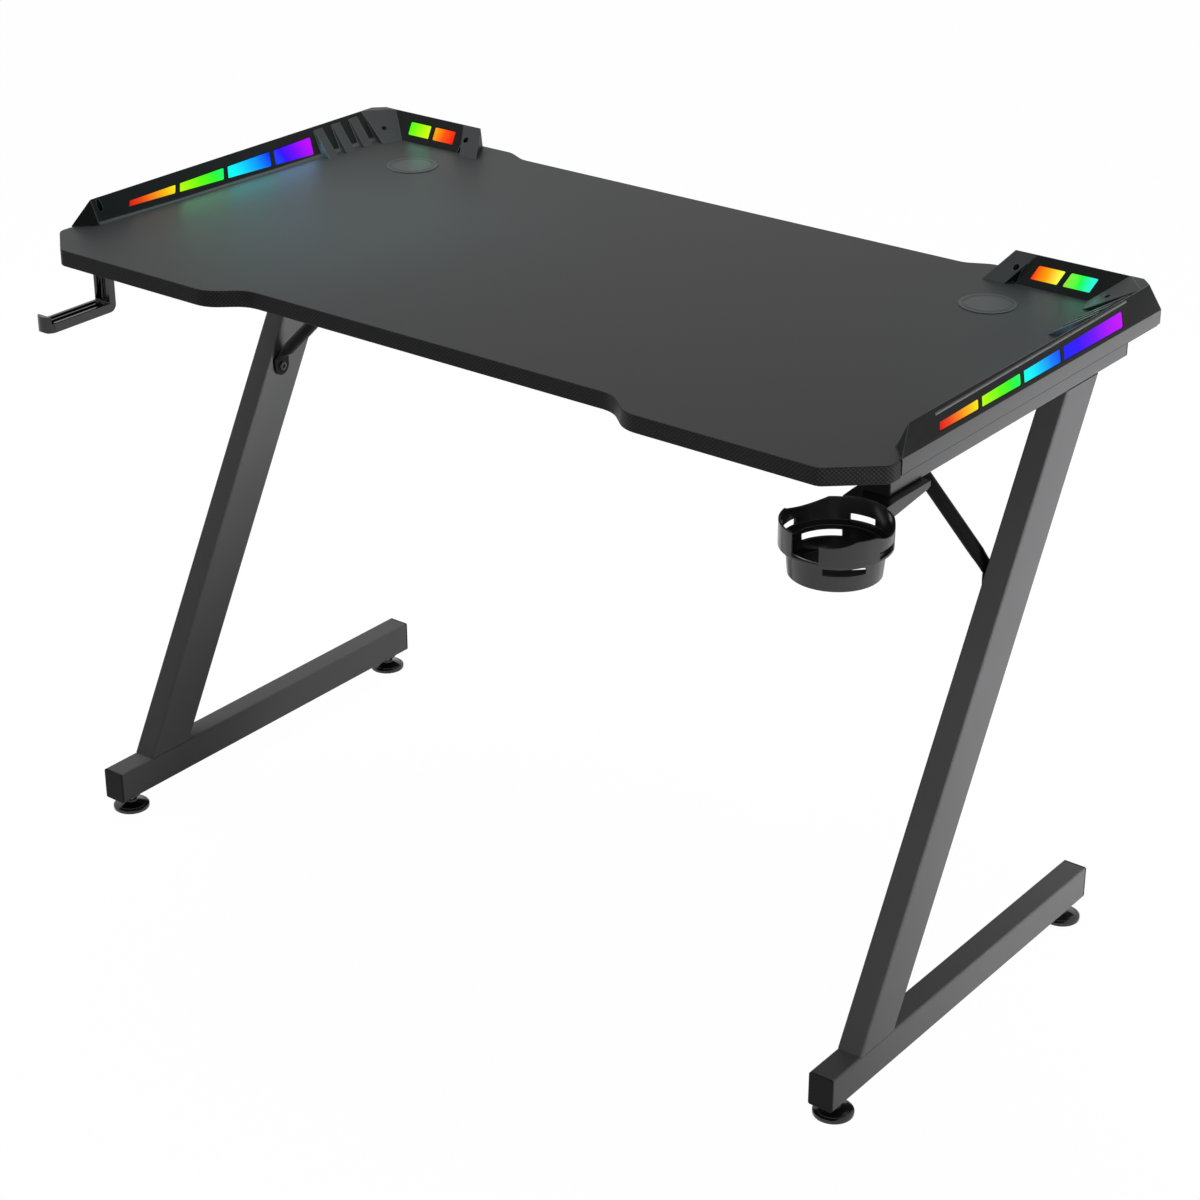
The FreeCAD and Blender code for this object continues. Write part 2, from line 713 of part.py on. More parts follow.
def windowRow(foot, crest, shareAt, start, stop, widths, lows, highs, lean):
    # The corners of each window in a row, lower edge first; the lean is taken over the whole slope
    start, stop = float(start), float(stop)
    space = math.copysign(float(windowSpace), stop - start)
    scale = (stop - start - space * (len(widths) - 1)) / sum(widths)

    def corner(along, limits):
        progress = (along - start) / (stop - start)
        up = limits[0] + (limits[1] - limits[0]) * progress
        leaned = along + float(lean) * (up - 0.5)
        return between([between(line, shareAt(line, leaned)) for line in (foot, crest)], up)

    windows = []
    begin = start
    for width in widths:
        end = begin + width * scale
        windows.append((corner(begin, lows), corner(end, lows), corner(end, highs), corner(begin, highs)))
        begin = end + space
    return windows


windowPanes = []
for foot, back, *row in windowRows:
    inward = (between(back, 0.5) - between(foot, 0.5)).normalize()
    for spots in windowRow(foot, *row):
        centre = (spots[0] + spots[1] + spots[2] + spots[3]) * 0.25
        outward = (spots[2] - spots[0]).cross(spots[3] - spots[1]).normalize()
        outward = -outward if outward.dot(inward) > 0 else outward
        flat = [spot - outward * outward.dot(spot - centre) for spot in spots]
        opening = ring(*[spot + outward * float(windowDepth) for spot in flat])
        through = outward * -float(windowDepth * 2 + barWall)
        pane = Part.Face(ring(*flat).makeOffset2D(-float(windowGap)))
        pane.translate(outward * -float(windowSink))
        number = len(windowPanes)
        barCuts.append(solid("window_opening_%d" % number, Part.Face(opening).extrude(through)))
        windowPanes.append(solid("window_pane_%d" % number, pane.extrude(outward * -float(windowDepth))))

# Screws down through the bar's solid nose, corner block and end block into the board
barScrewPlaces = [(halfWidth - frontScrewInset, nose + frontScrewLead),
                  (halfWidth - cornerScrewInset, boardRear - cornerScrewReach),
                  (halfWidth - endBlockInner + endScrewInset, boardRear - endScrewReach)]
barScrews = []
barSeat = deskHeight + barScrewSeat
for index, (across, along) in enumerate(barScrewPlaces):
    name = "bar_screw_%d" % index
    barCuts.append(rod(name + "_hole", barScrewRadius + fitGap, barScrewSeat + overshoot,
                       (across, along, deskHeight - overshoot)))
    barCuts.append(rod(name + "_recess", barScrewHead + fitGap, barRise, (across, along, barSeat)))
    barScrews.append(headed(name, barScrewRadius, barScrewHead, barScrewHeadHeight, (across, along, barSeat),
                            barScrewSeat + screwBite, (0, 0, -1)))
    for side in (-1, 1):
        boardHoles.append(rod("%s_pilot_%d" % (name, side + 1), barScrewRadius + fitGap, screwBite + fitGap,
                              (across * side, along, deskHeight - screwBite - fitGap)))
bothSides("light_bar", cut("right_light_bar", barSolid, barCuts))
bothSides("light_windows", group("right_light_windows", windowPanes))
pairedGroup("light_bar_screws", barScrews)
keep("desktop_board", cut("desktop_board", board, boardHoles))


# Light strips under the roofs: a narrow circuit board with chips along it
def strip(name, along, start, stop, near):
    # A strip along Y or X from start to stop, whose nearer edge is at near
    def box(label, a0, a1, b0, b1, low, high):
        first = (b0, a0, low) if along == "Y" else (a0, b0, low)
        last = (b1, a1, high) if along == "Y" else (a1, b1, high)
        return block(label, first, last)

    top = deskHeight + ledBoard
    items = [box(name + "_board", start, stop, near, near + ledWidth, deskHeight, top)]
    margin = (ledWidth - ledChip) / 2
    for index in range(int(float(stop - start - ledChip * 2) / float(ledPitch)) + 1):
        at = start + ledChip + ledPitch * index
        items.append(box("%s_chip_%d" % (name, index), at, at + ledChip, near + margin, near + margin + ledChip,
                         top, top + ledChipHeight))
    return fuse(name, items)


sideStrip = strip("side_strip", "Y", sideChannel[0] + ledEndGap, sideChannel[1] - ledEndGap,
                  halfWidth - barWall - ledMargin - ledWidth)
rearStrip = strip("rear_strip", "X", rearChannel[1] + ledEndGap, rearChannel[0] - ledEndGap,
                  boardRear - barWall * 2 - ledMargin - ledWidth)
bothSides("led_strips", group("right_led_strips", [sideStrip, rearStrip]))

# Cable grommets: a flanged liner with a ledge, and a lift-out cap on it
linerOuter = grommetRadius - fitGap
linerInner = linerOuter - grommetWall
linerTop = deskHeight + grommetProud
capBottom = linerTop - grommetCapHeight
linerHalf = [(linerInner - grommetLedge, underBoard), (linerOuter, underBoard), (linerOuter, deskHeight),
             (grommetRadius + grommetFlange, deskHeight), (grommetRadius + grommetFlange, linerTop),
             (linerInner, linerTop), (linerInner, capBottom), (linerInner - grommetLedge, capBottom)]
bothSides("grommet_liner", revolve("grommet_liner", linerHalf, grommetX, grommetY))
bothSides("grommet_cap", rod("grommet_cap", linerInner - fitGap * 2, grommetCapHeight,
                             (grommetX, grommetY, capBottom)))

# Foot bars, with holes for the levelling feet
footY = footBarHalf - capPlate - plugDepth - footEdge - stemRadius - insertWall
across = (frameInner, frameOuter)
footBar = tube("foot_bar_tube", "Y", across, -footBarHalf + capPlate, footBarHalf - capPlate,
               footClearance, footTop)
bothSides("foot_bar", cut("right_foot_bar", footBar, [
    wallHole("insert_hole_%d" % (end + 1), stemRadius + insertWall + fitGap, frameHalf, footY * end,
             footClearance)
    for end in (-1, 1)]))

# Legs: tubes that lean back from the foot bars to the rails
legShift = (railBottom - footTop) * legLean
legWall = tubeWall * root(legLean * legLean + 1)
strutBoltZ = footTop + (beamMiddle + legFront - strutSetback) / legLean


def legProfile(inset):
    # The leg seen from the side, drawn in from its two long faces
    front = -legFront + inset
    rear = -legFront + legDepth - inset
    return [(front, footTop), (rear, footTop), (rear + legShift, railBottom), (front + legShift, railBottom)]


legBody = extrude("leg_tube", "X", legProfile(0), frameInner, frameOuter)
soften(legBody, tubeCorner, runsAlong(0, float(legLean), 1))
hollow(legBody, "X", legProfile(legWall), frameInner + tubeWall, frameOuter - tubeWall)
bothSides("leg", cut("right_leg", legBody, [
    sideHole("leg_bolt_hole", boltRadius + fitGap, tubeWall, frameInner, beamMiddle, strutBoltZ)]))

# Top rails, drilled for the board's screws, the accessories and the beam's end plates
plateBoltOut = beamWidth / 2 + boltHeadRadius + boltHeadClear
plateHalf = plateBoltOut + boltHeadRadius + boltHeadClear
plateBoltPlaces = [beamMiddle - plateBoltOut, beamMiddle + plateBoltOut]
plateBoltZ = railBottom + railHeight / 2
railTube = tube("rail_tube", "Y", across, -railFront + capPlate, railRear - capPlate, railBottom, underBoard)
railHoles = [wallHole("rail_hang_hole_%d" % i, screwRadius + fitGap, frameHalf, along, railBottom)
             for i, along in enumerate(hangPlaces)]
for index, along in enumerate(railScrewPlaces):
    railHoles.append(wallHole("rail_driver_hole_%d" % index, screwHeadRadius + driverClear, frameHalf, along,
                              railBottom))
    railHoles.append(wallHole("rail_screw_hole_%d" % index, screwRadius + fitGap, frameHalf, along,
                              underBoard - tubeWall))
for index, along in enumerate(plateBoltPlaces):
    railHoles.append(sideHole("rail_plate_hole_%d" % index, boltRadius + fitGap, tubeWall, frameInner, along,
                              plateBoltZ))
bothSides("top_rail", cut("right_top_rail", railTube, railHoles))
pairedGroup("foot_bar_caps", [endCap("foot_cap_front", -footBarHalf, 1, footClearance, footTop),
                              endCap("foot_cap_rear", footBarHalf, -1, footClearance, footTop)])
pairedGroup("rail_caps", [endCap("rail_cap_front", -railFront, 1, railBottom, underBoard),
                          endCap("rail_cap_rear", railRear, -1, railBottom, underBoard)])
pairedGroup("board_screws", [
    headed("board_screw_%d" % i, screwRadius, screwHeadRadius, screwHeadHeight,
           (frameHalf, along, underBoard - tubeWall), tubeWall + screwBite)
    for i, along in enumerate(railScrewPlaces)])

# Cross-beam between the rails, with a bolted plate at each end
beamEnd = frameInner - endPlateThickness
beamUnder = underBoard - beamHeight
strutTopX = frameInner - strutInset
beamTube = tube("beam_tube", "X", (beamMiddle - beamWidth / 2, beamMiddle + beamWidth / 2), -beamEnd, beamEnd,
                beamUnder, underBoard)
keep("cross_beam", cut("cross_beam", beamTube, [
    wallHole("beam_strut_hole_%d" % (side + 1), boltRadius + fitGap, strutTopX * side, beamMiddle, beamUnder)
    for side in (-1, 1)]))
endPlate = block("end_plate", (beamEnd, beamMiddle - plateHalf, railBottom + tubeWall),
                 (frameInner, beamMiddle + plateHalf, underBoard))
bothSides("beam_end_plate", cut("right_beam_end_plate", endPlate, [
    sideHole("end_plate_hole_%d" % i, boltRadius + fitGap, endPlateThickness, beamEnd, along, plateBoltZ)
    for i, along in enumerate(plateBoltPlaces)]))
pairedGroup("beam_bolts", [
    headed("plate_bolt_%d" % i, boltRadius, boltHeadRadius, boltHeadHeight, (beamEnd, along, plateBoltZ),
           endPlateThickness + boltReach, (1, 0, 0)) for i, along in enumerate(plateBoltPlaces)])

# Diagonal struts: round tube pressed flat at both ends into bolted tabs
tabX = frameInner - strutTab
tabZ = beamUnder - strutTab
tabHalf = strutWidth / 2
legTabEnd = strutBoltZ + strutTabReach
beamTabEnd = strutTopX + strutTabReach


def oval(centre, half, rise):
    # A closed section, half as wide as given along Y and reaching up by the rise
    return Part.Wire(Part.Ellipse(centre + point(0, half, 0), centre + rise, centre).toShape())


def strutTube():
    # The tube between the tabs, from one flat end through two round sections to the other
    legEnd = point(frameInner - strutTab / 2, beamMiddle, legTabEnd - overshoot)
    beamEndSpot = point(beamTabEnd - overshoot, beamMiddle, beamUnder - strutTab / 2)
    low = legEnd + point(-strutLegReach, 0, strutLegRise)
    high = beamEndSpot + point(strutBeamReach, 0, -strutBeamDrop)
    rise = (high - low).normalize().cross(Vector(0, 1, 0)) * float(strutHalfDepth)
    rise = rise if rise.x > 0 else -rise
    flat = float(strutTab / 2)
    return Part.makeLoft([oval(legEnd, tabHalf, Vector(flat, 0, 0)), oval(low, strutHalfWidth, rise),
                          oval(high, strutHalfWidth, rise), oval(beamEndSpot, tabHalf, Vector(0, 0, flat))],
                         True, True)


strutBlank = fuse("strut_blank", [
    solid("strut_tube", strutTube()),
    block("strut_leg_tab", (tabX, beamMiddle - tabHalf, strutBoltZ),
          (frameInner, beamMiddle + tabHalf, legTabEnd)),
    rod("strut_leg_tab_end", tabHalf, strutTab, (tabX, beamMiddle, strutBoltZ), (1, 0, 0)),
    block("strut_beam_tab", (strutTopX, beamMiddle - tabHalf, tabZ),
          (beamTabEnd, beamMiddle + tabHalf, beamUnder)),
    rod("strut_beam_tab_end", tabHalf, strutTab, (strutTopX, beamMiddle, tabZ))])
bothSides("strut", cut("right_strut", strutBlank, [
    sideHole("strut_leg_hole", boltRadius + fitGap, strutTab, tabX, beamMiddle, strutBoltZ),
    rod("strut_beam_hole", boltRadius + fitGap, strutTab + overshoot * 2,
        (strutTopX, beamMiddle, tabZ - overshoot))]))
pairedGroup("strut_bolts", [
    headed("strut_leg_bolt", boltRadius, boltHeadRadius, boltHeadHeight, (tabX, beamMiddle, strutBoltZ),
           strutTab + boltReach, (1, 0, 0)),
    headed("strut_beam_bolt", boltRadius, boltHeadRadius, boltHeadHeight, (strutTopX, beamMiddle, tabZ),
           strutTab + boltReach)])

# Levelling feet: a fixed insert in the foot bar, a threaded stem and a turning pad, at the four corners
insertRadius = stemRadius + insertWall
insertBottom = footClearance - insertFlangeHeight
stemTop = footTop - tubeWall - stemHeadroom
boreRadius = stemRadius + runningGap
insertHalf = [(boreRadius, insertBottom), (insertRadius + insertLip, insertBottom),
              (insertRadius + insertLip, footClearance), (insertRadius, footClearance),
              (insertRadius, footClearance + insertDepth), (boreRadius, footClearance + insertDepth)]
hubRadius = stemRadius + hubWall
padHalf = [(0, 0), (padRadius, 0), (padRadius, padHeight), (hubRadius, padHeight + padDome),
           (hubRadius, hubHeight), (boreRadius, hubHeight), (boreRadius, padFloor), (0, padFloor)]
for side, sideName in ((-1, "left"), (1, "right")):
    for end, endName in ((-1, "front"), (1, "rear")):
        foot = "%s_%s_foot" % (endName, sideName)
        x, y = frameHalf * side, footY * end
        keep(foot + "_insert", revolve(foot + "_insert", insertHalf, x, y))
        keep(foot + "_stem", rod(foot + "_stem", stemRadius, stemTop - padFloor, (x, y, padFloor)))
        keep(foot + "_pad", revolve(foot + "_pad", padHalf, x, y))

# Cup holder: a stepped cup with a wavy rim, a gap for a mug's handle and slots, on an arm under the right rail
cupX = frameHalf
cupY = -railFront - cupOverhang
cupTop = railBottom - cupDrop
cupStep = cupTop - cupRingHeight
cupFloor = cupStep - cupBowlHeight
cupStepRadius = cupRadius - cupShelf
cupFootRadius = cupStepRadius - cupTaper
cupHalf = [
    (0, cupFloor), (cupFootRadius, cupFloor), (cupStepRadius, cupStep), (cupRadius, cupStep + cupStepRise),
    (cupRadius, cupTop), (cupRadius - cupWall, cupTop), (cupRadius - cupWall, cupStep + cupStepRise + cupWall),
    (cupStepRadius - cupWall, cupStep + cupWall), (cupFootRadius - cupWall, cupFloor + cupWall),
    (0, cupFloor + cupWall)]
armFront = cupY + cupRadius / 2
armSide = [(armFront, cupTop), (armFront, railBottom - armThickness - armDrop),
           (hangRear - armToe, railBottom - armThickness), (hangRear, railBottom - armThickness + armToe / 2),
           (hangRear, railBottom), (-railFront, railBottom)]
armBody = extrude("cup_arm", "X", armSide, cupX - armWidth / 2, cupX + armWidth / 2)
bowlSpace = rod("cup_arm_clear", cupRadius - cupWall / 2, railBottom - cupFloor + overshoot,
                (cupX, cupY, cupFloor))


def outward(angle):
    # The unit direction from the cup's axis at an angle in degrees from +X
    return FreeCAD.Rotation(Vector(0, 0, 1), angle).multVec(Vector(1, 0, 0))


def radialBlock(name, angle, near, far, width, low, high):
    # A block that points out from the cup's axis
    item = doc.addObject("Part::Box", name)
    item.Placement = FreeCAD.Placement(Vector(), FreeCAD.Rotation(Vector(0, 0, 1), angle))
    bind(item, Length=far - near, Width=width, Height=high - low)
    ahead, aside = outward(angle), outward(angle + 90)
    return bind(item, Placement__Base__x=cupX + near * ahead.x - width / 2 * aside.x,
                Placement__Base__y=cupY + near * ahead.y - width / 2 * aside.y, Placement__Base__z=low)


innerFoot = cupFootRadius - cupWall * 2
cupCuts = [radialBlock("cup_handle_gap", -90, cupStepRadius - cupShelf, cupRadius + overshoot, handleGap,
                       cupStep + cupStepRise + cupWall, cupTop + overshoot)]
for index, angle in enumerate((-65, 15, 160)):
    ahead = outward(angle)
    cupCuts.append(rod("cup_rim_dip_%d" % index, rimDipRadius, cupRadius,
                       (cupX + cupRadius / 2 * ahead.x, cupY + cupRadius / 2 * ahead.y,
                        cupTop + rimDipRadius - rimDip), (ahead.x, ahead.y, 0)))
lowSlotTop = cupStep - cupStepRise
for index, angle in enumerate((142, -46)):
    cupCuts.append(radialBlock("cup_low_slot_%d" % index, angle, innerFoot / 2, cupRadius, lowSlotWidth,
                               lowSlotTop - slotHeight, lowSlotTop))
ringSlot = cupStep + cupStepRise + cupWall
for index, angle in enumerate((5, 94, 185)):
    cupCuts.append(radialBlock("cup_ring_slot_%d" % index, angle, cupStepRadius, cupRadius + overshoot,
                               ringSlotWidth, ringSlot, ringSlot + slotHeight))
for index, angle in enumerate((45, 135, 225, 315)):
    cupCuts.append(radialBlock("cup_drain_%d" % index, angle, drainStart, drainStart + drainLength, slotHeight,
                               cupFloor - overshoot, cupFloor + cupWall + overshoot))
hangSeat = railBottom - hangScrewSeat
for index, along in enumerate(hangPlaces):
    recessDepth = armThickness + armDrop
    cupCuts.append(rod("cup_screw_hole_%d" % index, screwRadius + fitGap, hangScrewSeat + overshoot * 2,
                       (cupX, along, hangSeat - overshoot)))
    cupCuts.append(rod("cup_screw_recess_%d" % index, screwHeadRadius + driverClear / 2, recessDepth,
                       (cupX, along, hangSeat - recessDepth)))
cupBlank = fuse("cup_blank", [revolve("cup_bowl", cupHalf, cupX, cupY),
                              cut("cup_arm_trimmed", armBody, [bowlSpace])])
keep("cup_holder", cut("cup_holder", cupBlank, cupCuts))

# Headphone hook: a flange under the left rail, a grooved post and a grooved arm with an upturned rounded lip
hookX = -frameHalf
hookTip = -railFront - hookOverhang
postFront = -railFront - hookPostOverhang
hookBottom = railBottom - hookDrop
armTop = hookBottom + hookArm
lipTop = armTop + hookLip
hookSide = [
    (hangRear, railBottom), (hangRear, railBottom - hookFlange),
    (postFront + hookPost, railBottom - hookFlange), (postFront + hookPost, hookBottom),
    (hookTip, hookBottom), (hookTip, lipTop), (hookTip + hookLipDepth, lipTop), (hookTip + hookLipDepth, armTop),
    (postFront, armTop), (postFront, railBottom)]
hookBar = extrude("hook_bar", "X", hookSide, hookX - hookWidth / 2, hookX + hookWidth / 2)
soften(hookBar, hookHeelRound, crosswise(postFront + hookPost, hookBottom))
soften(hookBar, hookToeRound, crosswise(hookTip, hookBottom))
noseY = hookTip + hookWidth / 2
hookPlan = fuse("hook_plan", [
    block("hook_plan_bar", (hookX - hookWidth / 2, noseY, hookBottom),
          (hookX + hookWidth / 2, hangRear, railBottom)),
    rod("hook_plan_nose", hookWidth / 2, hookDrop, (hookX, noseY, hookBottom))])
hookBlank = doc.addObject("Part::MultiCommon", "hook_blank")
hookBlank.Shapes = [hookBar, hookPlan]
hookCuts = []
for side in (-1, 1):
    middle = hookX + (hookGroove + hookGrooveSpace) / 2 * side
    left, right = middle - hookGroove / 2, middle + hookGroove / 2
    hookCuts.append(block("hook_post_groove_%d" % (side + 1),
                          (left, postFront - overshoot, armTop + hookGrooveEnd),
                          (right, postFront + hookGrooveDepth, railBottom - hookFlange)))
    hookCuts.append(block("hook_arm_groove_%d" % (side + 1),
                          (left, hookTip + hookLipDepth + hookGrooveEnd, armTop - hookGrooveDepth),
                          (right, postFront - hookGrooveEnd, armTop + overshoot)))
for index, along in enumerate(hangPlaces):
    hookCuts.append(rod("hook_screw_hole_%d" % index, screwRadius + fitGap, hookFlange + overshoot * 2,
                        (hookX, along, railBottom - hookFlange - overshoot)))
keep("headphone_hook", cut("headphone_hook", hookBlank, hookCuts))
accessoryScrews = []
for index, along in enumerate(hangPlaces):
    for name, x, seat in (("cup", cupX, hangScrewSeat), ("hook", hookX, hookFlange)):
        accessoryScrews.append(headed("%s_screw_%d" % (name, index), screwRadius, screwHeadRadius,
                                      screwHeadHeight, (x, along, railBottom - seat), seat + screwBite))
keep("accessory_screws", group("accessory_screws", accessoryScrews))

doc.recompute()
for item in doc.Objects:
    if "Invalid" in item.State or "Error" in item.State:
        raise RuntimeError("%s failed: %s" % (item.Label, item.State))
for label, item in nodes.items():
    if item.Shape.isNull() or not item.Shape.isValid() or not item.Shape.Solids:
        raise RuntimeError("%s has no valid solid" % label)

os.makedirs("parts", exist_ok=True)
for label, item in nodes.items():
    item.Shape.exportStep("parts/%s.step" % label)
    print("%-24s %2d solids %10.0f mm3" % (label, len(item.Shape.Solids), item.Shape.Volume))
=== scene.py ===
import bpy
import bmesh
import math
from mathutils import Matrix, Vector


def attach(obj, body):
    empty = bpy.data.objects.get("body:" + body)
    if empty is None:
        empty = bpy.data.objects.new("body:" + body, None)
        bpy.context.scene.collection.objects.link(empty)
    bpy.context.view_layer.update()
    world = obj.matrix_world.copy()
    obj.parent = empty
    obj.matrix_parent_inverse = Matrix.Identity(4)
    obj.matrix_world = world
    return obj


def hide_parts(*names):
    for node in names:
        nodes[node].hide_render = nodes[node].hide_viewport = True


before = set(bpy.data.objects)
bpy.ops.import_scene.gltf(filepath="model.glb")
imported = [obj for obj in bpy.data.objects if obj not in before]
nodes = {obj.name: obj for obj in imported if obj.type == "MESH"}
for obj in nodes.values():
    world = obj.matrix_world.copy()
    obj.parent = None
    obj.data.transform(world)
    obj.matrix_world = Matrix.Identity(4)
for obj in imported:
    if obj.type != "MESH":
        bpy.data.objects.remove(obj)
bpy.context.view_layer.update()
scene = bpy.context.scene
mm = 0.001
print("frame loaded with", len(nodes), "nodes")


# A shader socket that takes part in plain Python maths
class Wire:
    def __init__(self, finish, socket):
        self.finish = finish
        self.socket = socket

    def maths(self, operation, first, second=0.0):
        return self.finish.node("ShaderNodeMath", {"operation": operation}, {0: first, 1: second})

    def __add__(self, other):
        return self.maths("ADD", self, other)

    def __radd__(self, other):
        return self.maths("ADD", other, self)

    def __sub__(self, other):
        return self.maths("SUBTRACT", self, other)

    def __rsub__(self, other):
        return self.maths("SUBTRACT", other, self)

    def __mul__(self, other):
        return self.maths("MULTIPLY", self, other)

    def __rmul__(self, other):
        return self.maths("MULTIPLY", other, self)

    def __truediv__(self, other):
        return self.maths("DIVIDE", self, other)

    def __mod__(self, other):
        return self.maths("FLOORED_MODULO", self, other)

    def __lt__(self, other):
        return self.maths("LESS_THAN", self, other)

    def __gt__(self, other):
        return self.maths("GREATER_THAN", self, other)

    def __abs__(self):
        return self.maths("ABSOLUTE", self)

    def __floor__(self):
        return self.maths("FLOOR", self)


# A node tree that is filled one node at a time
class Finish:
    def __init__(self, tree):
        self.tree = tree
        tree.nodes.clear()

    def node(self, kind, settings=None, inputs=None, output=0):
        made = self.tree.nodes.new(kind)
        for key, value in (settings or {}).items():
            if key == "stops":
                fillRamp(made.color_ramp, value)
            else:
                setattr(made, key, value)
        for key, value in (inputs or {}).items():
            if isinstance(value, Wire):
                self.tree.links.new(value.socket, made.inputs[key])
            else:
                made.inputs[key].default_value = value
        return Wire(self, made.outputs[output]) if made.outputs else None

    def place(self):
        return self.node("ShaderNodeTexCoord", output="Object")

    def along(self, vector, axis):
        return self.node("ShaderNodeSeparateXYZ", {}, {0: vector}, axis)

    def noise(self, scale, detail=2.0):
        return self.node("ShaderNodeTexNoise", {}, {"Vector": self.place(), "Scale": scale, "Detail": detail})

    def blend(self, share, first, second):
        return self.node("ShaderNodeMix", {"data_type": "RGBA"}, {0: share, 6: first, 7: second}, 2)

    def sine(self, value):
        return self.node("ShaderNodeMath", {"operation": "SINE"}, {0: value})

    def bump(self, height, strength, distance):
        return self.node("ShaderNodeBump", {}, {"Height": height, "Strength": strength, "Distance": distance})

    def surface(self, sockets):
        shader = self.node("ShaderNodeBsdfPrincipled", {}, sockets)
        self.node("ShaderNodeOutputMaterial", {}, {"Surface": shader})


def fillRamp(ramp, stops):
    ramp.elements.remove(ramp.elements[1])
    for index, (position, colour) in enumerate(stops):
        element = ramp.elements.new(position) if index else ramp.elements[0]
        element.position = position
        element.color = (*colour, 1.0)


def newFinish(name):
    material = bpy.data.materials.new(name)
    material.use_nodes = True
    return material, Finish(material.node_tree)


def grey(value):
    return (value, value, value * 1.02, 1.0)


# Moulded or coated surfaces: a dark base with a fine grain, slight mottling and uneven gloss
coatingTraits = ("base", "rough", "specular", "grain", "relief", "spread")
coatings = {
    "frameSteel": (0.105, 0.42, 0.06, 1500, 0.06, 0.08),
    "strutSteel": (0.008, 0.36, 0.06, 1500, 0.04, 0.10),
    "endCapPlastic": (0.010, 0.5, 0.10, 2200, 0.05, 0.12),
    "barPlastic": (0.010, 0.5, 0.07, 2600, 0.09, 0.14),
    # skirt sides: a light grey tone, painted light as on lit steel
    "paintedLightSkirt": (0.105, 0.45, 0.06, 2600, 0.06, 0.08),
    # raised blocks and ribs: a lighter tone, painted light on the faces that catch it
    "paintedLightBlock": (0.05, 0.5, 0.08, 2600, 0.09, 0.10),
    # broken bar edges: a lighter tone, a painted highlight
    "paintedHighlightEdge": (0.07, 0.4, 0.12, 1800, 0.03, 0.10),
    # foot lip: a lighter tone, a painted highlight line
    "paintedHighlightLip": (0.06, 0.4, 0.2, 1800, 0.03, 0.10),
    # bead: a much lighter tone, a painted highlight line
    "paintedHighlightBead": (0.13, 0.3, 0.3, 1800, 0.03, 0.10),
    "grommetPlastic": (0.026, 0.42, 0.2, 2400, 0.06, 0.1),
    "accessoryPlastic": (0.026, 0.2, 0.45, 900, 0.03, 0.1),
    "footPlastic": (0.008, 0.14, 0.5, 500, 0.02, 0.1),
    "darkFastener": (0.016, 0.34, 0.4, 1800, 0.05, 0.2),
}
wear = {"mottle": 9.0, "evenGloss": 0.9, "mottleGloss": 0.14, "grainGloss": 0.06, "depth": 0.4 * mm}


def coated(name):
    look = dict(zip(coatingTraits, coatings[name]))
    material, finish = newFinish(name)
    grain = finish.noise(look["grain"], 3.0)
    mottle = finish.noise(wear["mottle"], 4.0)
    dark, light = grey(look["base"] * (1 - look["spread"])), grey(look["base"] * (1 + look["spread"]))
    gloss = look["rough"] * (wear["evenGloss"] + mottle * wear["mottleGloss"] + grain * wear["grainGloss"])
    finish.surface({
        "Base Color": finish.blend(mottle, dark, light), "Roughness": gloss,
        "Specular IOR Level": look["specular"], "Normal": finish.bump(grain, look["relief"], wear["depth"])})
    return material


# Board film: satin top with a fine grain, and a plain weave round the edge, whose warp tows are painted
# lighter than the weft and lightest along each tow's middle, a painted sheen
boardLook = {
    "top": 0.026, "spread": 0.1, "cloud": 5.0, "grain": 1700.0, "rough": 0.47, "specular": 0.10,
    "evenGloss": 0.94, "cloudGloss": 0.08, "grainGloss": 0.04, "grainRelief": 0.12, "relief": 0.35,
    "depth": 0.3 * mm, "flatFrom": 0.6,
    # tow tones: the warp is painted lighter than the weft, a painted sheen
    "tow": 2.2 * mm, "warp": 0.034, "weft": 0.013, "towEdge": 0.35, "towPeakSheen": 0.65,
}


def boardFilm():
    material, finish = newFinish("boardFilm")
    edgeMap = finish.node("ShaderNodeUVMap", {"uv_map": "edgeRun"})
    column = finish.along(edgeMap, 0) / boardLook["tow"]
    row = finish.along(edgeMap, 1) / boardLook["tow"]
    warpOver = ((math.floor(column) + math.floor(row)) % 2.0) < 0.5
    warpBend = finish.sine((column % 1.0) * math.pi)
    weftBend = finish.sine((row % 1.0) * math.pi)
    bend = warpBend * warpOver + weftBend * (1 - warpOver)
    # painted sheen: warp tows lighten toward their middle
    towSheen = warpOver * (boardLook["towEdge"] + bend * boardLook["towPeakSheen"])
    weave = finish.blend(towSheen, grey(boardLook["weft"]), grey(boardLook["warp"]))
    grain = finish.noise(boardLook["grain"], 3.0)
    cloud = finish.noise(boardLook["cloud"], 4.0)
    dark = grey(boardLook["top"] * (1 - boardLook["spread"]))
    light = grey(boardLook["top"] * (1 + boardLook["spread"]))
    facing = finish.along(finish.node("ShaderNodeNewGeometry", {}, {}, "Normal"), 2)
    flat = abs(facing) > boardLook["flatFrom"]
    gloss = boardLook["evenGloss"] + cloud * boardLook["cloudGloss"] + grain * boardLook["grainGloss"]
    relief = grain * boardLook["grainRelief"] * flat + bend * (1 - flat)
    finish.surface({
        "Base Color": finish.blend(flat, weave, finish.blend(cloud, dark, light)),
        "Roughness": boardLook["rough"] * gloss, "Specular IOR Level": boardLook["specular"],
        "Normal": finish.bump(relief, boardLook["relief"], boardLook["depth"])})
    return material


# Zinc plated thread, with faint turning marks
zinc = {
    "dark": (0.5, 0.51, 0.52, 1.0), "light": (0.68, 0.68, 0.66, 1.0), "cloud": 60.0, "rough": 0.3,
    "ringStep": 9000.0, "ringGloss": 0.04,
}


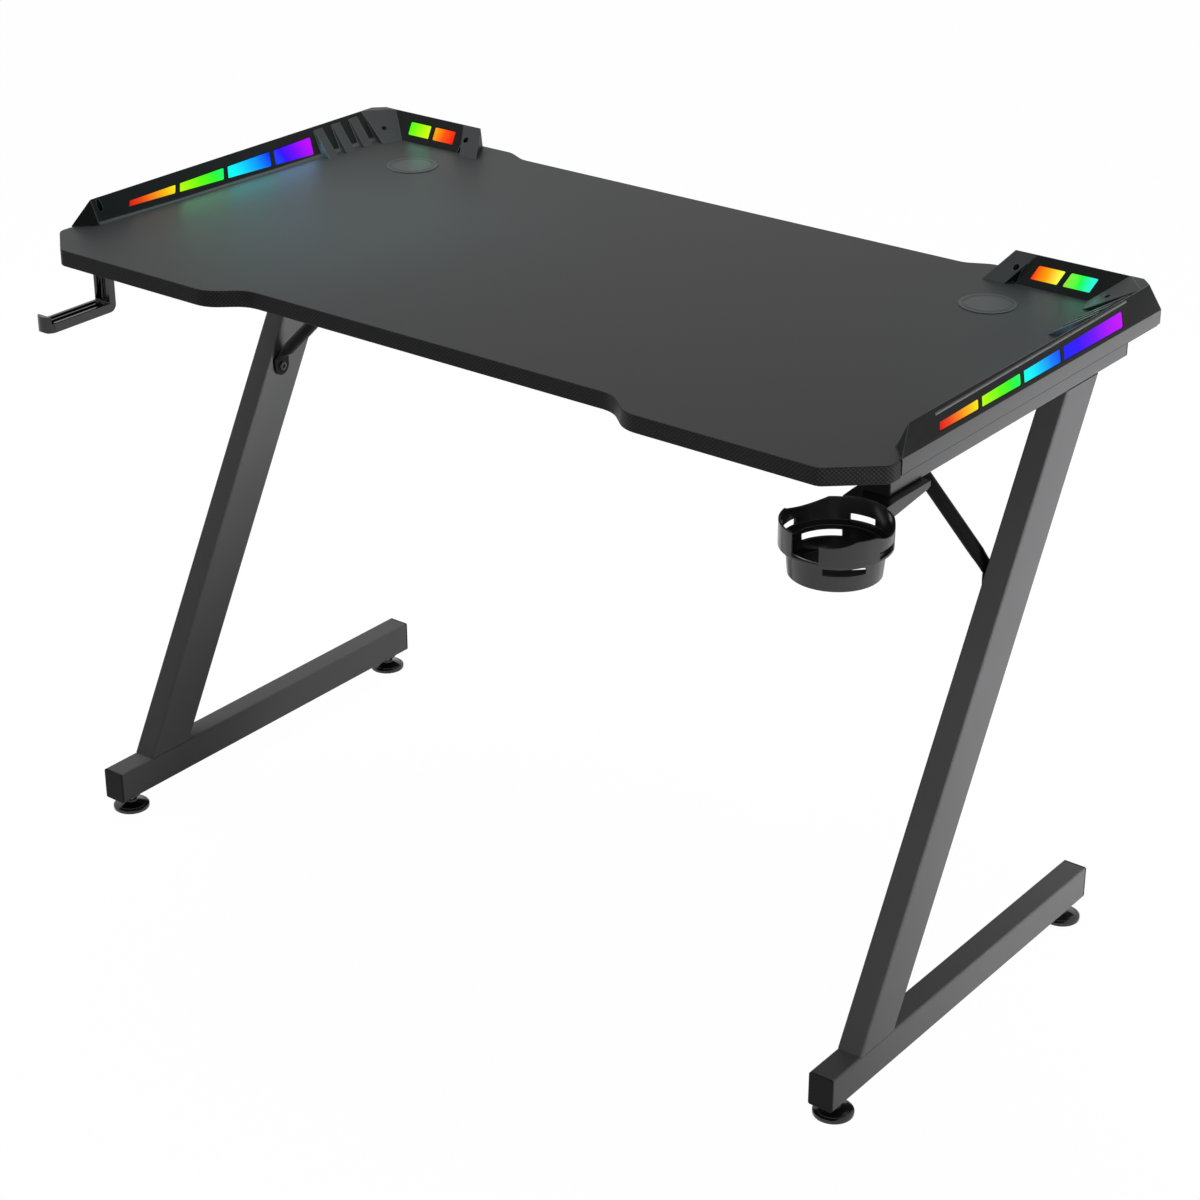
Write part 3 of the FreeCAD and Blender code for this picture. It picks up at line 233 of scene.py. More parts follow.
def zincPlate():
    material, finish = newFinish("zincPlate")
    rings = finish.sine(finish.along(finish.place(), 2) * zinc["ringStep"])
    tone = finish.blend(finish.noise(zinc["cloud"], 3.0), zinc["dark"], zinc["light"])
    gloss = zinc["rough"] + rings * zinc["ringGloss"]
    finish.surface({"Base Color": tone, "Metallic": 1.0, "Roughness": gloss})
    return material


# Circuit strips under the bars: white lacquer with gold solder dots
circuit = {
    "lacquer": (0.72, 0.72, 0.69, 1.0), "solder": (0.55, 0.42, 0.16, 1.0), "dots": 420.0, "dotFrom": 0.66,
    "rough": 0.4, "solderGloss": 0.15,
}


def circuitWhite():
    material, finish = newFinish("circuitWhite")
    dot = finish.noise(circuit["dots"], 1.0) > circuit["dotFrom"]
    tone = finish.blend(dot, circuit["lacquer"], circuit["solder"])
    finish.surface({"Base Color": tone, "Roughness": circuit["rough"] - dot * circuit["solderGloss"]})
    return material


# Colours along the lit panes: front to rear on the side rows, from inboard to the corner on the rear rows
glow = {
    "strength": 1.15, "dim": 0.01, "unlit": (0.004, 0.004, 0.004, 1.0), "rough": 0.3, "roughSpread": 0.1,
    "grain": 700.0, "specular": 0.02,
    "side": [
        [(0.62, 0.006, 0.004), (0.7, 0.047, 0.006), (0.83, 0.19, 0.006), (0.82, 0.43, 0.005),
         (0.82, 0.75, 0.005)],
        [(0.45, 0.83, 0.0), (0.24, 0.88, 0.001), (0.087, 0.9, 0.001), (0.024, 0.88, 0.02),
         (0.003, 0.95, 0.15)],
        [(0.001, 1.0, 0.7), (0.002, 0.72, 0.9), (0.001, 0.42, 0.94), (0.0, 0.18, 0.95),
         (0.001, 0.06, 0.8)],
        [(0.002, 0.012, 0.85), (0.028, 0.002, 0.92), (0.13, 0.0, 0.98), (0.35, 0.0, 0.95),
         (0.52, 0.0, 0.98)]],
    "leftRear": [
        [(0.75, 0.002, 0.001), (0.92, 0.078, 0.002), (0.89, 0.37, 0.002)],
        [(0.63, 0.87, 0.002), (0.27, 0.91, 0.001), (0.05, 0.93, 0.003)]],
    "rightRear": [
        [(0.8, 0.01, 0.001), (0.9, 0.33, 0.002), (0.8, 0.97, 0.07)],
        [(0.25, 0.69, 0.044), (0.011, 0.92, 0.047), (0.022, 0.81, 0.76)]],
    "castInner": [(0.16, 0.14, 0.09), (0.25, 0.85, 0.45), (0.12, 0.85, 0.8), (0.24, 0.58, 0.9)],
    "castRear": [(0.16, 0.25, 0.25), (0.12, 0.5, 0.36)],
    "castLevel": 7.5, "castGap": 1.0 * mm,
}


def litPane(name, axis, spans, colours):
    material, finish = newFinish(name)
    start, stop = spans[0][0], spans[-1][1]
    stops = []
    for (low, high), run in zip(spans, colours):
        for index, colour in enumerate(run):
            spot = low + (high - low) * index / (len(run) - 1)
            stops.append(((spot - start) / (stop - start), colour))
    where = finish.along(finish.place(), axis)
    where = abs(where) if axis == 0 else where
    ramp = finish.node("ShaderNodeValToRGB", {"stops": stops}, {0: (where - start) / (stop - start)})
    finish.surface({
        "Base Color": finish.blend(glow["dim"], glow["unlit"], ramp),
        "Roughness": glow["rough"] + finish.noise(glow["grain"]) * glow["roughSpread"],
        "Specular IOR Level": glow["specular"], "Emission Color": ramp, "Emission Strength": glow["strength"]})
    return material


looks = {name: coated(name) for name in coatings}
looks["boardFilm"] = boardFilm()
looks["zincPlate"] = zincPlate()
looks["circuitWhite"] = circuitWhite()
print("finishes mixed:", len(looks))


# Everyday steps
cleanup = {"weld": 0.002 * mm, "flatWithin": 0.3, "smoothAngle": 38}


def pickOnly(*pieces):
    if bpy.context.mode != "OBJECT":
        bpy.ops.object.mode_set(mode="OBJECT")
    bpy.ops.object.select_all(action="DESELECT")
    for piece in pieces:
        piece.select_set(True)
    bpy.context.view_layer.objects.active = pieces[0] if pieces else None


def applied(piece, kind, **settings):
    pickOnly(piece)
    modifier = piece.modifiers.new(kind.lower(), kind)
    for key, value in settings.items():
        setattr(modifier, key, value)
    bpy.ops.object.modifier_apply(modifier=modifier.name)


def mergeDoubles(piece, recalculate=False):
    pickOnly(piece)
    bpy.ops.object.mode_set(mode="EDIT")
    bpy.ops.mesh.select_all(action="SELECT")
    bpy.ops.mesh.remove_doubles(threshold=cleanup["weld"])
    if recalculate:
        bpy.ops.mesh.normals_make_consistent(inside=False)
    bpy.ops.object.mode_set(mode="OBJECT")


def smoothed(piece, angle=cleanup["smoothAngle"]):
    pickOnly(piece)
    bpy.ops.object.shade_smooth_by_angle(angle=math.radians(angle))
    applied(piece, "WEIGHTED_NORMAL", keep_sharp=True)


def rounded(piece, width, segments=3, angle=cleanup["smoothAngle"], finish=-1):
    applied(piece, "BEVEL", width=width, segments=segments, limit_method="ANGLE",
            angle_limit=math.radians(angle), use_clamp_overlap=False, material=finish)
    smoothed(piece)


def joined(name, pieces):
    pickOnly(*pieces)
    bpy.ops.object.join()
    pieces[0].name = name
    pieces[0].data.name = name
    return pieces[0]


def settle(piece):
    pickOnly(piece)
    bpy.ops.object.transform_apply(location=True, rotation=True, scale=True)


def copyOfNode(node, name):
    piece = bpy.data.objects.new(name, nodes[node].data.copy())
    scene.collection.objects.link(piece)
    pickOnly(piece)
    piece.data.materials.clear()
    bpy.ops.mesh.customdata_custom_splitnormals_clear()
    mergeDoubles(piece)
    bpy.ops.object.mode_set(mode="EDIT")
    bpy.ops.mesh.dissolve_limited(angle_limit=math.radians(cleanup["flatWithin"]))
    bpy.ops.object.mode_set(mode="OBJECT")
    return piece


def drawn(name, points):
    # An open run of edges, drawn point by point from a single vertex
    pickOnly()
    bpy.ops.mesh.primitive_plane_add(size=mm, location=(0, 0, 0))
    piece = bpy.context.object
    piece.name = piece.data.name = name
    bpy.ops.object.mode_set(mode="EDIT")
    bpy.ops.mesh.select_mode(type="VERT")
    bpy.ops.mesh.select_all(action="SELECT")
    bpy.ops.mesh.merge(type="CENTER")
    bpy.ops.transform.translate(value=points[0])
    for first, second in zip(points, points[1:]):
        step = Vector(second) - Vector(first)
        bpy.ops.mesh.extrude_vertices_move(TRANSFORM_OT_translate={"value": step})
    return piece


def turned(name, profile, steps):
    # A half section of radius and height in mm, drawn and spun round the upright axis
    piece = drawn(name, [(radius * mm, 0.0, height * mm) for radius, height in profile])
    bpy.ops.mesh.select_all(action="SELECT")
    bpy.ops.mesh.spin(steps=steps, angle=2 * math.pi, center=(0, 0, 0), axis=(0, 0, 1))
    mergeDoubles(piece, True)
    return piece


def copyAt(model, name, place, toward=(0, 0, 1)):
    # A copy with its own mesh, its upright axis turned toward a direction
    piece = bpy.data.objects.new(name, model.data.copy())
    scene.collection.objects.link(piece)
    piece.location = place
    piece.rotation_euler = Vector(toward).to_track_quat("Z", "Y").to_euler()
    settle(piece)
    return piece


def boxOf(spots):
    return [Vector([pick(s[axis] for s in spots) for axis in range(3)]) for pick in (min, max)]


def islandsOf(piece):
    # Loose parts as lists of faces
    mesh = bmesh.new()
    mesh.from_mesh(piece.data)
    islands, seen = [], set()
    for face in mesh.faces:
        if face.index in seen:
            continue
        stack, island = [face], []
        seen.add(face.index)
        while stack:
            here = stack.pop()
            island.append(here.index)
            for edge in here.edges:
                for other in edge.link_faces:
                    if other.index not in seen:
                        seen.add(other.index)
                        stack.append(other)
        islands.append(island)
    mesh.free()
    return islands


def spotsOf(piece, island):
    return [piece.data.vertices[i].co for f in island for i in piece.data.polygons[f].vertices]


def fit(piece, body, look, slotName, *replaced):
    if look:
        piece.data.materials.clear()
        piece.data.materials.append(looks[look])
    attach(piece, body)
    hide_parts(*replaced)


# Desktop board: the outline gets an edge map, so that the weave runs along it
boardEdge = {"round": 0.5 * mm, "segments": 3, "angle": 32, "flatFrom": 0.9}


def perimeterOf(piece):
    # The longest ring of edges round the top face, as points in order with their running length
    mesh = bmesh.new()
    mesh.from_mesh(piece.data)
    links = {}
    for edge in mesh.edges:
        if sum(face.normal.z > boardEdge["flatFrom"] for face in edge.link_faces) == 1:
            first, second = edge.verts
            links.setdefault(first.index, []).append(second.index)
            links.setdefault(second.index, []).append(first.index)
    mesh.free()
    rings = []
    while links:
        walk = [next(iter(links))]
        onward = walk
        while onward:
            onward = [index for index in links.pop(walk[-1]) if index in links]
            walk += onward[:1]
        rings.append([piece.data.vertices[index].co.xy for index in walk])
    ring = max(rings, key=lambda r: sum((b - a).length for a, b in zip(r, r[1:])))
    runs = [0.0]
    for first, second in zip(ring, ring[1:] + ring[:1]):
        runs.append(runs[-1] + (second - first).length)
    return ring, runs


def runAt(spot, ring, runs):
    best = (1e9, 0.0)
    for index, first in enumerate(ring):
        second = ring[(index + 1) % len(ring)]
        side = second - first
        share = max(0.0, min(1.0, (spot - first).dot(side) / max(side.length_squared, 1e-12)))
        gap = (first + side * share - spot).length
        best = min(best, (gap, runs[index] + side.length * share))
    return best[1]


def dressBoard():
    board = copyOfNode("desktop_board", "boardPanel")
    ring, runs = perimeterOf(board)
    for layer in list(board.data.uv_layers):
        board.data.uv_layers.remove(layer)
    edgeMap = board.data.uv_layers.new(name="edgeRun")
    for face in board.data.polygons:
        if abs(face.normal.z) > boardEdge["flatFrom"]:
            continue
        places = [board.data.vertices[board.data.loops[i].vertex_index].co for i in face.loop_indices]
        across = [runAt(p.xy, ring, runs) for p in places]
        for index, spot, run in zip(face.loop_indices, places, across):
            wraps = max(across) - run > runs[-1] / 2
            edgeMap.data[index].uv = (run + (runs[-1] if wraps else 0.0), spot.z)
    rounded(board, boardEdge["round"], boardEdge["segments"], boardEdge["angle"])
    fit(board, "frame", "boardFilm", "carbon_board", "desktop_board")


dressBoard()
print("board dressed")

# Light bars: moulded edges are broken, panes get round corners and a lit face
bars = {
    "edge": 0.7 * mm, "edgeSegments": 3, "edgeAngle": 25, "paneCorner": 1.6 * mm, "cornerSegments": 4,
    "paneEdge": 0.25 * mm, "paneEdgeSegments": 2, "paneDepth": 3 * mm, "rearFrom": 250 * mm,
    "boardTop": 750 * mm, "rise": 28.5 * mm, "crestReach": 0.1 * mm, "skirtTop": 749.5 * mm, "paintedSkirtFacing": 0.9,
    "lipTop": 752.6 * mm, "lipReach": 3 * mm, "blockRise": 0.8 * mm, "paintedBlockFacing": -0.1,
    "windowRoom": 2.5 * mm,
    "foot": ((0.541, -0.205), (0.5125, 0.264)), "ridge": ((0.554, -0.205), (0.5513, 0.291)),
    "beadFrom": (0.5555, -0.160, 0.7722), "beadTo": (0.5526, 0.223, 0.7754), "beadReach": 1.2 * mm,
    "looks": ("barPlastic", "paintedLightSkirt", "paintedHighlightBead", "paintedHighlightLip", "paintedLightBlock", "paintedHighlightEdge"),
}


def shortEdges(piece, limit):
    # The edges through the pane's thickness
    bpy.ops.object.mode_set(mode="EDIT")
    bpy.ops.mesh.select_mode(type="EDGE")
    bpy.ops.mesh.select_all(action="DESELECT")
    mesh = bmesh.from_edit_mesh(piece.data)
    for edge in mesh.edges:
        edge.select_set(edge.calc_length() < limit)
    bmesh.update_edit_mesh(piece.data)


def castGlow(name, face, spots, colour):
    # A small lamp in front of a pane, for the light that it throws over the board
    normal = face.normal.copy()
    along = Vector((1, 0, 0)) if abs(normal.y) > abs(normal.x) else Vector((0, 1, 0))
    along = (along - normal * along.dot(normal)).normalized()
    across = along.cross(normal)
    wide, tall = [max(s.dot(way) for s in spots) - min(s.dot(way) for s in spots) for way in (along, across)]
    bpy.ops.object.light_add(type="AREA", location=face.center + normal * glow["castGap"])
    lamp = bpy.context.object
    lamp.name = name
    lamp.data.shape = "RECTANGLE"
    lamp.data.size = wide
    lamp.data.size_y = tall
    lamp.data.color = colour
    lamp.data.energy = glow["castLevel"] * math.pi * wide * tall
    lamp.rotation_euler = Matrix((along, across, normal * -1)).transposed().to_euler()
    lamp.visible_camera = False


def dressPanes(side):
    panes = copyOfNode(side + "_light_windows", side + "LightPanes")
    pickOnly(panes)
    shortEdges(panes, bars["paneDepth"])
    bpy.ops.mesh.bevel(offset=bars["paneCorner"], segments=bars["cornerSegments"], affect="EDGES")
    bpy.ops.object.mode_set(mode="OBJECT")
    rounded(panes, bars["paneEdge"], bars["paneEdgeSegments"])
    rows = {"inner": [], "outer": [], "rear": []}  # each pane's span, faces, lit face and spots
    ridge = nodes[side + "_light_bar"].data.vertices
    top = max(v.co.z for v in ridge)
    crest = sorted((v.co for v in ridge if v.co.z > top - bars["crestReach"]), key=lambda c: c.y)
    front, corner = crest[0], max(crest, key=lambda c: (round(c.y, 4), abs(c.x)))
    for island in islandsOf(panes):
        spots = spotsOf(panes, island)
        middle = sum(spots, Vector()) / len(spots)
        share = (middle.y - front.y) / (corner.y - front.y)
        onRidge = abs(front.x + (corner.x - front.x) * share)
        row = "outer" if abs(middle.x) > onRidge else "inner"
        if middle.y > bars["rearFrom"]:
            row = "rear"
        runs = [abs(s.x) if row == "rear" else s.y for s in spots]
        upward = [panes.data.polygons[f] for f in island if panes.data.polygons[f].normal.z > 0]
        rows[row].append(((min(runs), max(runs)), island, max(upward, key=lambda p: p.area), spots))
    panes.data.materials.clear()
    for index, (row, members) in enumerate(rows.items()):
        members.sort(key=lambda m: m[0])
        axis, colours = (0, glow[side + "Rear"]) if row == "rear" else (1, glow["side"])
        pane = litPane("%s%sGlow" % (side, row.title()), axis, [m[0] for m in members], colours)
        panes.data.materials.append(pane)
        for span, island, face, spots in members:
            for lit in island:
                panes.data.polygons[lit].material_index = index
    for row in ("inner", "rear"):
        for (span, island, face, spots), colour in zip(rows[row], glow["cast" + row.title()]):
            castGlow(side + row.title() + "Cast", face, spots, colour)
    fit(panes, "frame", None, "light_diffuser", side + "_light_windows")


def proudOf(spot):
    # How far a spot stands out of the inner slopes of the side and the rear
    up = (spot.z - bars["boardTop"]) / bars["rise"]
    (footX, footY), (cornerX, cornerY) = bars["foot"]
    (ridgeX, ridgeY), (crestX, crestY) = bars["ridge"]
    foot = footX + (cornerX - footX) * (spot.y - footY) / (cornerY - footY)
    ridge = ridgeX + (crestX - ridgeX) * (spot.y - ridgeY) / (crestY - ridgeY)
    return foot + (ridge - foot) * up - spot.x, cornerY + (crestY - cornerY) * up - spot.y


def paintBar(bar, side):
    # Each part of the bar has its own finish: the skirt's sides and the raised blocks carry painted light, the
    # bead, the lip and the broken edges a painted highlight
    windows = copyOfNode(side + "_light_windows", side + "Windows")
    boxes = [boxOf(spotsOf(windows, island)) for island in islandsOf(windows)]
    bpy.data.objects.remove(windows)
    room = bars["windowRoom"]
    start = Vector(bars["beadFrom"])
    run = Vector(bars["beadTo"]) - start
    for face in bar.data.polygons:
        spot = Vector((abs(face.center.x), face.center.y, face.center.z))
        share = (spot - start).dot(run) / run.length_squared
        across, along = proudOf(spot)
        look = bars["looks"][face.material_index]
        framing = any(all(l - room < c < h + room for l, c, h in zip(low, face.center, high))
                      for low, high in boxes)
        # painted highlight: the bevelled edges are lighter, except where they frame a window
        if look == "paintedHighlightEdge" and framing:
            look = "barPlastic"
        # painted light: the skirt's side faces take a light grey tone, its other faces keep the bar plastic
        if spot.z < bars["skirtTop"]:
            look = "paintedLightSkirt" if abs(face.normal.x) > bars["paintedSkirtFacing"] else "barPlastic"
        # painted highlight: faces along the bead line take a lighter tone
        elif 0 <= share <= 1 and (start + run * share - spot).length < bars["beadReach"]:
            look = "paintedHighlightBead"
        # painted highlight: the lip along the inner foot takes a lighter tone
        elif spot.z < bars["lipTop"] and 0 < across < bars["lipReach"]:
            look = "paintedHighlightLip"
        # painted light: faces of the raised blocks and ribs that don't face down take a lighter tone
        elif (look == "barPlastic" and min(across, along) > bars["blockRise"]
              and face.normal.z > bars["paintedBlockFacing"]):
            look = "paintedLightBlock"
        face.material_index = bars["looks"].index(look)


for side in ("left", "right"):
    bar = copyOfNode(side + "_light_bar", side + "LightBar")
    for look in bars["looks"]:
        bar.data.materials.append(looks[look])
    # the bevel faces take the painted edge highlight
    rounded(bar, bars["edge"], bars["edgeSegments"], bars["edgeAngle"], bars["looks"].index("paintedHighlightEdge"))
    paintBar(bar, side)
    fit(bar, "frame", None, "light_bar_plastic", side + "_light_bar")
    dressPanes(side)
print("light bars dressed")

# Steel frame: a broken edge where the tube is sawn, and the pressed strut is only smoothed
steelFrame = {
    "segments": 2, "angle": 40,
    "pieces": {
        "foot_bar": ("FootBar", 0.4 * mm, "frameSteel"),
        "leg": ("Leg", 0.4 * mm, "frameSteel"),
        "top_rail": ("TopRail", 0.4 * mm, "frameSteel"),
        "beam_end_plate": ("BeamEndPlate", 0.5 * mm, "frameSteel"),
        "strut": ("Strut", 0.0, "strutSteel"),
    },
}
for side in ("left", "right"):
    for node, (label, edge, look) in steelFrame["pieces"].items():
        piece = copyOfNode("%s_%s" % (side, node), side + label)
        if edge:
            rounded(piece, edge, steelFrame["segments"], steelFrame["angle"])
        else:
            smoothed(piece)
        fit(piece, "frame", look, "frame_steel", "%s_%s" % (side, node))
print("side frames dressed")

# Cross-beam, end caps and accessories: one of each, with rounder edges
mouldings = {
    "segments": 3, "angle": 35,
    "pieces": {
        "cross_beam": ("crossBeam", 0.4 * mm, "frameSteel", "frame_steel"),
        "foot_bar_caps": ("footBarCaps", 0.7 * mm, "endCapPlastic", "end_cap_plastic"),
        "rail_caps": ("railCaps", 0.7 * mm, "endCapPlastic", "end_cap_plastic"),
        "cup_holder": ("cupHolder", 0.5 * mm, "accessoryPlastic", "accessory_plastic"),
        "headphone_hook": ("headphoneHook", 0.9 * mm, "accessoryPlastic", "accessory_plastic"),
    },
}
for node, (label, edge, look, slotName) in mouldings["pieces"].items():
    piece = copyOfNode(node, label)
    rounded(piece, edge, mouldings["segments"], mouldings["angle"])
    fit(piece, "frame", look, slotName, node)
print("cross-beam, caps and accessories dressed")

# Circuit strips keep their solids
for side in ("left", "right"):
    strips = nodes[side + "_led_strips"]
    strips.data.materials.clear()
    strips.data.materials.append(looks["circuitWhite"])

# Levelling feet: a domed pad with a ring groove, a threaded stem and a flanged insert
feet = {
    "names": ("front_left_foot", "rear_left_foot", "front_right_foot", "rear_right_foot"),
    "pad": [
        (0, 0), (21.8, 0), (22.3, 0.2), (22.5, 0.7), (22.5, 3.3), (22.4, 3.8), (22.1, 4.25), (21.5, 4.6),
        (19.6, 5.3), (19.4, 4.9), (18.6, 5.15), (18.4, 5.65), (8.8, 8.55), (8.0, 8.85), (7.6, 9.1), (7.5, 9.5),
        (7.5, 11.0), (7.35, 11.35), (7.0, 11.5), (4.6, 11.5), (4.2, 11.1), (4.2, 3), (0, 3)],
    "insert": [
        (4.15, 17.4), (4.55, 17), (11.5, 17), (11.85, 17.15), (12, 17.5), (12, 19.7), (11.7, 20), (8, 20),
        (8, 33.6), (7.6, 34), (4.15, 34), (4.15, 17.4)],
    "core": [(0, 3), (3.1, 3), (3.45, 3.4), (3.45, 44.6), (3.1, 45), (0, 45)],
    "thread": [(3.4, 3.4), (3.96, 3.85), (3.96, 4.0), (3.4, 4.45), (3.4, 4.65)],
    "pitch": 1.25, "turns": 32, "steps": 64, "threadSteps": 24, "smooth": 30, "threadSmooth": 40,
}


def stemModel():
    thread = drawn("stemThread", [(radius * mm, 0.0, height * mm) for radius, height in feet["thread"]])
    applied(thread, "SCREW", axis="Z", angle=2 * math.pi, screw_offset=feet["pitch"] * mm,
            iterations=feet["turns"], steps=feet["threadSteps"], render_steps=feet["threadSteps"])
    mergeDoubles(thread, True)
    return joined("stemModel", [thread, turned("stemCore", feet["core"], feet["threadSteps"])])


padModel = turned("padModel", feet["pad"], feet["steps"])
insertModel = turned("insertModel", feet["insert"], feet["steps"])
threadModel = stemModel()
for model in (padModel, insertModel):
    smoothed(model, feet["smooth"])
smoothed(threadModel, feet["threadSmooth"])
for foot in feet["names"]:
    low, high = boxOf([v.co for v in nodes[foot + "_pad"].data.vertices])
    place = ((low.x + high.x) / 2, (low.y + high.y) / 2, 0.0)
    label = "".join(word.title() if index else word for index, word in enumerate(foot.split("_")))
    pad = copyAt(padModel, label + "Pad", place)
    stem = copyAt(threadModel, label + "Stem", place)
    insert = copyAt(insertModel, label + "Insert", place)
    fit(pad, foot + "_turning_pad", "footPlastic", "foot_plastic", foot + "_pad")
    fit(stem, foot + "_thread", "zincPlate", "zinc_stem", foot + "_stem")
    fit(insert, "frame", "footPlastic", "foot_plastic", foot + "_insert")
for model in (padModel, insertModel, threadModel):
    bpy.data.objects.remove(model)
print("levelling feet modelled")

# Cable grommets: a flanged liner with a rounded rim, and a lift-out cap with a fine ring
grommets = {
    "liner": [
        (24.3, 731.3), (24.6, 731), (29.6, 731), (29.9, 731.3), (29.9, 750), (31.6, 750), (31.55, 750.4),
        (31.35, 750.68), (31.0, 750.8), (27.7, 750.8), (27.42, 750.7), (27.3, 750.4), (27.3, 746.8),
        (24.3, 746.8), (24.3, 731.3)],
    "cap": [
        (0, 746.8), (26.8, 746.8), (27.1, 747.1), (27.1, 750.3), (27.0, 750.6), (26.7, 750.8), (24.7, 750.8),
        (24.5, 750.55), (24.1, 750.55), (23.9, 750.8), (0, 750.8)],
    "steps": 96, "smooth": 30,
}
linerModel = turned("linerModel", grommets["liner"], grommets["steps"])
capModel = turned("capModel", grommets["cap"], grommets["steps"])
for model in (linerModel, capModel):
    smoothed(model, grommets["smooth"])
for side in ("left", "right"):
    low, high = boxOf([v.co for v in nodes[side + "_grommet_cap"].data.vertices])
    place = ((low.x + high.x) / 2, (low.y + high.y) / 2, 0.0)
    liner = copyAt(linerModel, side + "GrommetLiner", place)
    cap = copyAt(capModel, side + "GrommetCap", place)
    fit(liner, "frame", "grommetPlastic", "grommet_plastic", side + "_grommet_liner")
    fit(cap, side + "_grommet_lid", "grommetPlastic", "grommet_plastic", side + "_grommet_cap")
for model in (linerModel, capModel):
    bpy.data.objects.remove(model)
print("cable grommets modelled")

# Screws and bolts: a turned blank with a recess cut into its head, copied to every seat
fastenerTraits = ("label", "head", "rise", "shank", "drive")
fasteners = {
    "beam_bolts": ("beamBolts", 5.5, 3.0, 3.0, "hex"),
    "strut_bolts": ("strutBolts", 5.5, 3.0, 3.0, "hex"),
    "light_bar_screws": ("lightBarScrews", 3.2, 2.4, 2.0, "cross"),
    "board_screws": ("boardScrews", 5.0, 3.0, 2.5, "cross"),
    "accessory_screws": ("accessoryScrews", 5.0, 3.0, 2.5, "cross"),
}
headForm = {
    "dome": [(0, 0), (0.62, 0), (0.86, 0.1), (0.97, 0.28), (1.0, 0.5)],  # shares of the head's radius and rise
    "rim": 0.2, "tip": 1.0, "steps": 32, "smooth": 30, "endReach": 0.1 * mm,
    "hexWide": 0.5, "hexDeep": 1.3, "crossLong": 1.15, "crossWide": 0.24, "crossDeep": 1.1,
}


def seatsOf(node):
    # For each fastener of a node: the head's outer end, the way it points and the length in mm
    piece = copyOfNode(node, node + "Seats")
    seats = []
    for island in islandsOf(piece):
        spots = spotsOf(piece, island)
        low, high = boxOf(spots)
        axis = max(range(3), key=lambda a: high[a] - low[a])
        top = (low + high) / 2
        ends = [boxOf([s for s in spots if abs(s[axis] - end[axis]) < headForm["endReach"]])
                for end in (low, high)]
        widths = [sum(far - near) for near, far in ends]
        upward = widths[1] > widths[0]
        top[axis] = high[axis] if upward else low[axis]
        toward = Vector([(1.0 if upward else -1.0) if a == axis else 0.0 for a in range(3)])
        seats.append((top, toward, round((high[axis] - low[axis]) / mm, 2)))
    bpy.data.objects.remove(piece)
    return seats


def recessCutters(form):
    cutters = []
    pickOnly()
    if form["drive"] == "hex":
        bpy.ops.mesh.primitive_cylinder_add(vertices=6, radius=form["head"] * headForm["hexWide"] * mm,
                                            depth=form["rise"] * headForm["hexDeep"] * mm)
        return [bpy.context.object]
    for turn in (0.0, math.pi / 2):
        bpy.ops.mesh.primitive_cube_add(size=mm, rotation=(0, 0, turn))
        bpy.context.object.scale = (form["head"] * headForm["crossLong"], form["head"] * headForm["crossWide"],
                                    form["rise"] * headForm["crossDeep"])
        cutters.append(bpy.context.object)
    return cutters


def fastenerModel(form, length):
    head, rise, shank = form["head"], form["rise"], form["shank"]
    rim, tip = headForm["rim"], headForm["tip"]
    blank = turned("fastenerModel", [(head * out, -rise * down) for out, down in headForm["dome"]] + [
        (head, rim - rise), (head - rim, -rise), (shank, -rise), (shank, tip - length), (shank - tip, -length),
        (0, -length)], headForm["steps"])
    for cutter in recessCutters(form):
        applied(blank, "BOOLEAN", operation="DIFFERENCE", object=cutter, solver="EXACT")
        bpy.data.objects.remove(cutter)
    smoothed(blank, headForm["smooth"])
    return blank


for node, traits in fasteners.items():
    form = dict(zip(fastenerTraits, traits))
    models, copies = {}, []
    for top, toward, length in seatsOf(node):
        if length not in models:
            models[length] = fastenerModel(form, length)
        copies.append(copyAt(models[length], form["label"], top, toward))
    fit(joined(form["label"], copies), "frame", "darkFastener", "dark_fasteners", node)
    for model in models.values():
        bpy.data.objects.remove(model)
print("fasteners modelled")

# Studio: pale floor, white surround, a key from the right, a soft overhead and fills
# The two washes are the wide share of the panes' glow
studio = {
    "floor": 16.0, "paleness": 0.55, "selfShare": 0.96, "floorGlow": 1.028, "ambient": 0.14,
    "lamps": {
        "keyRight": {"place": (1.82, -0.15, 0.24), "aim": (1.60, 0.79, 0.52), "size": 0.3, "power": 60.0},
        "overhead": {"place": (-1.1, 0.38, 2.5), "aim": (-0.3, 0.0, 0.75), "size": 1.4, "power": 41.0},
        "frontFill": {"place": (1.7, -2.3, 0.9), "aim": (0.55, 0.0, 0.35), "size": 0.8, "power": 1.1,
                      "spread": 40},
        "legFill": {"place": (0.2, 0.16, 0.54), "aim": (-0.512, 0.06, 0.60), "size": 0.25, "power": 0.65,
                    "spread": 70},
        "leftWash": {"place": (-0.35, -0.04, 0.85), "aim": (-0.349, -0.04, 0.75), "size": 0.3, "power": 0.5,
                     "colour": (0.36, 0.86, 0.84)},
        "rightWash": {"place": (0.45, 0.19, 0.80), "aim": (0.449, 0.19, 0.75), "size": 0.08, "power": 0.035,
                      "colour": (0.1, 0.85, 0.7)},
    },
}
white = (1.0, 1.0, 1.0, 1.0)


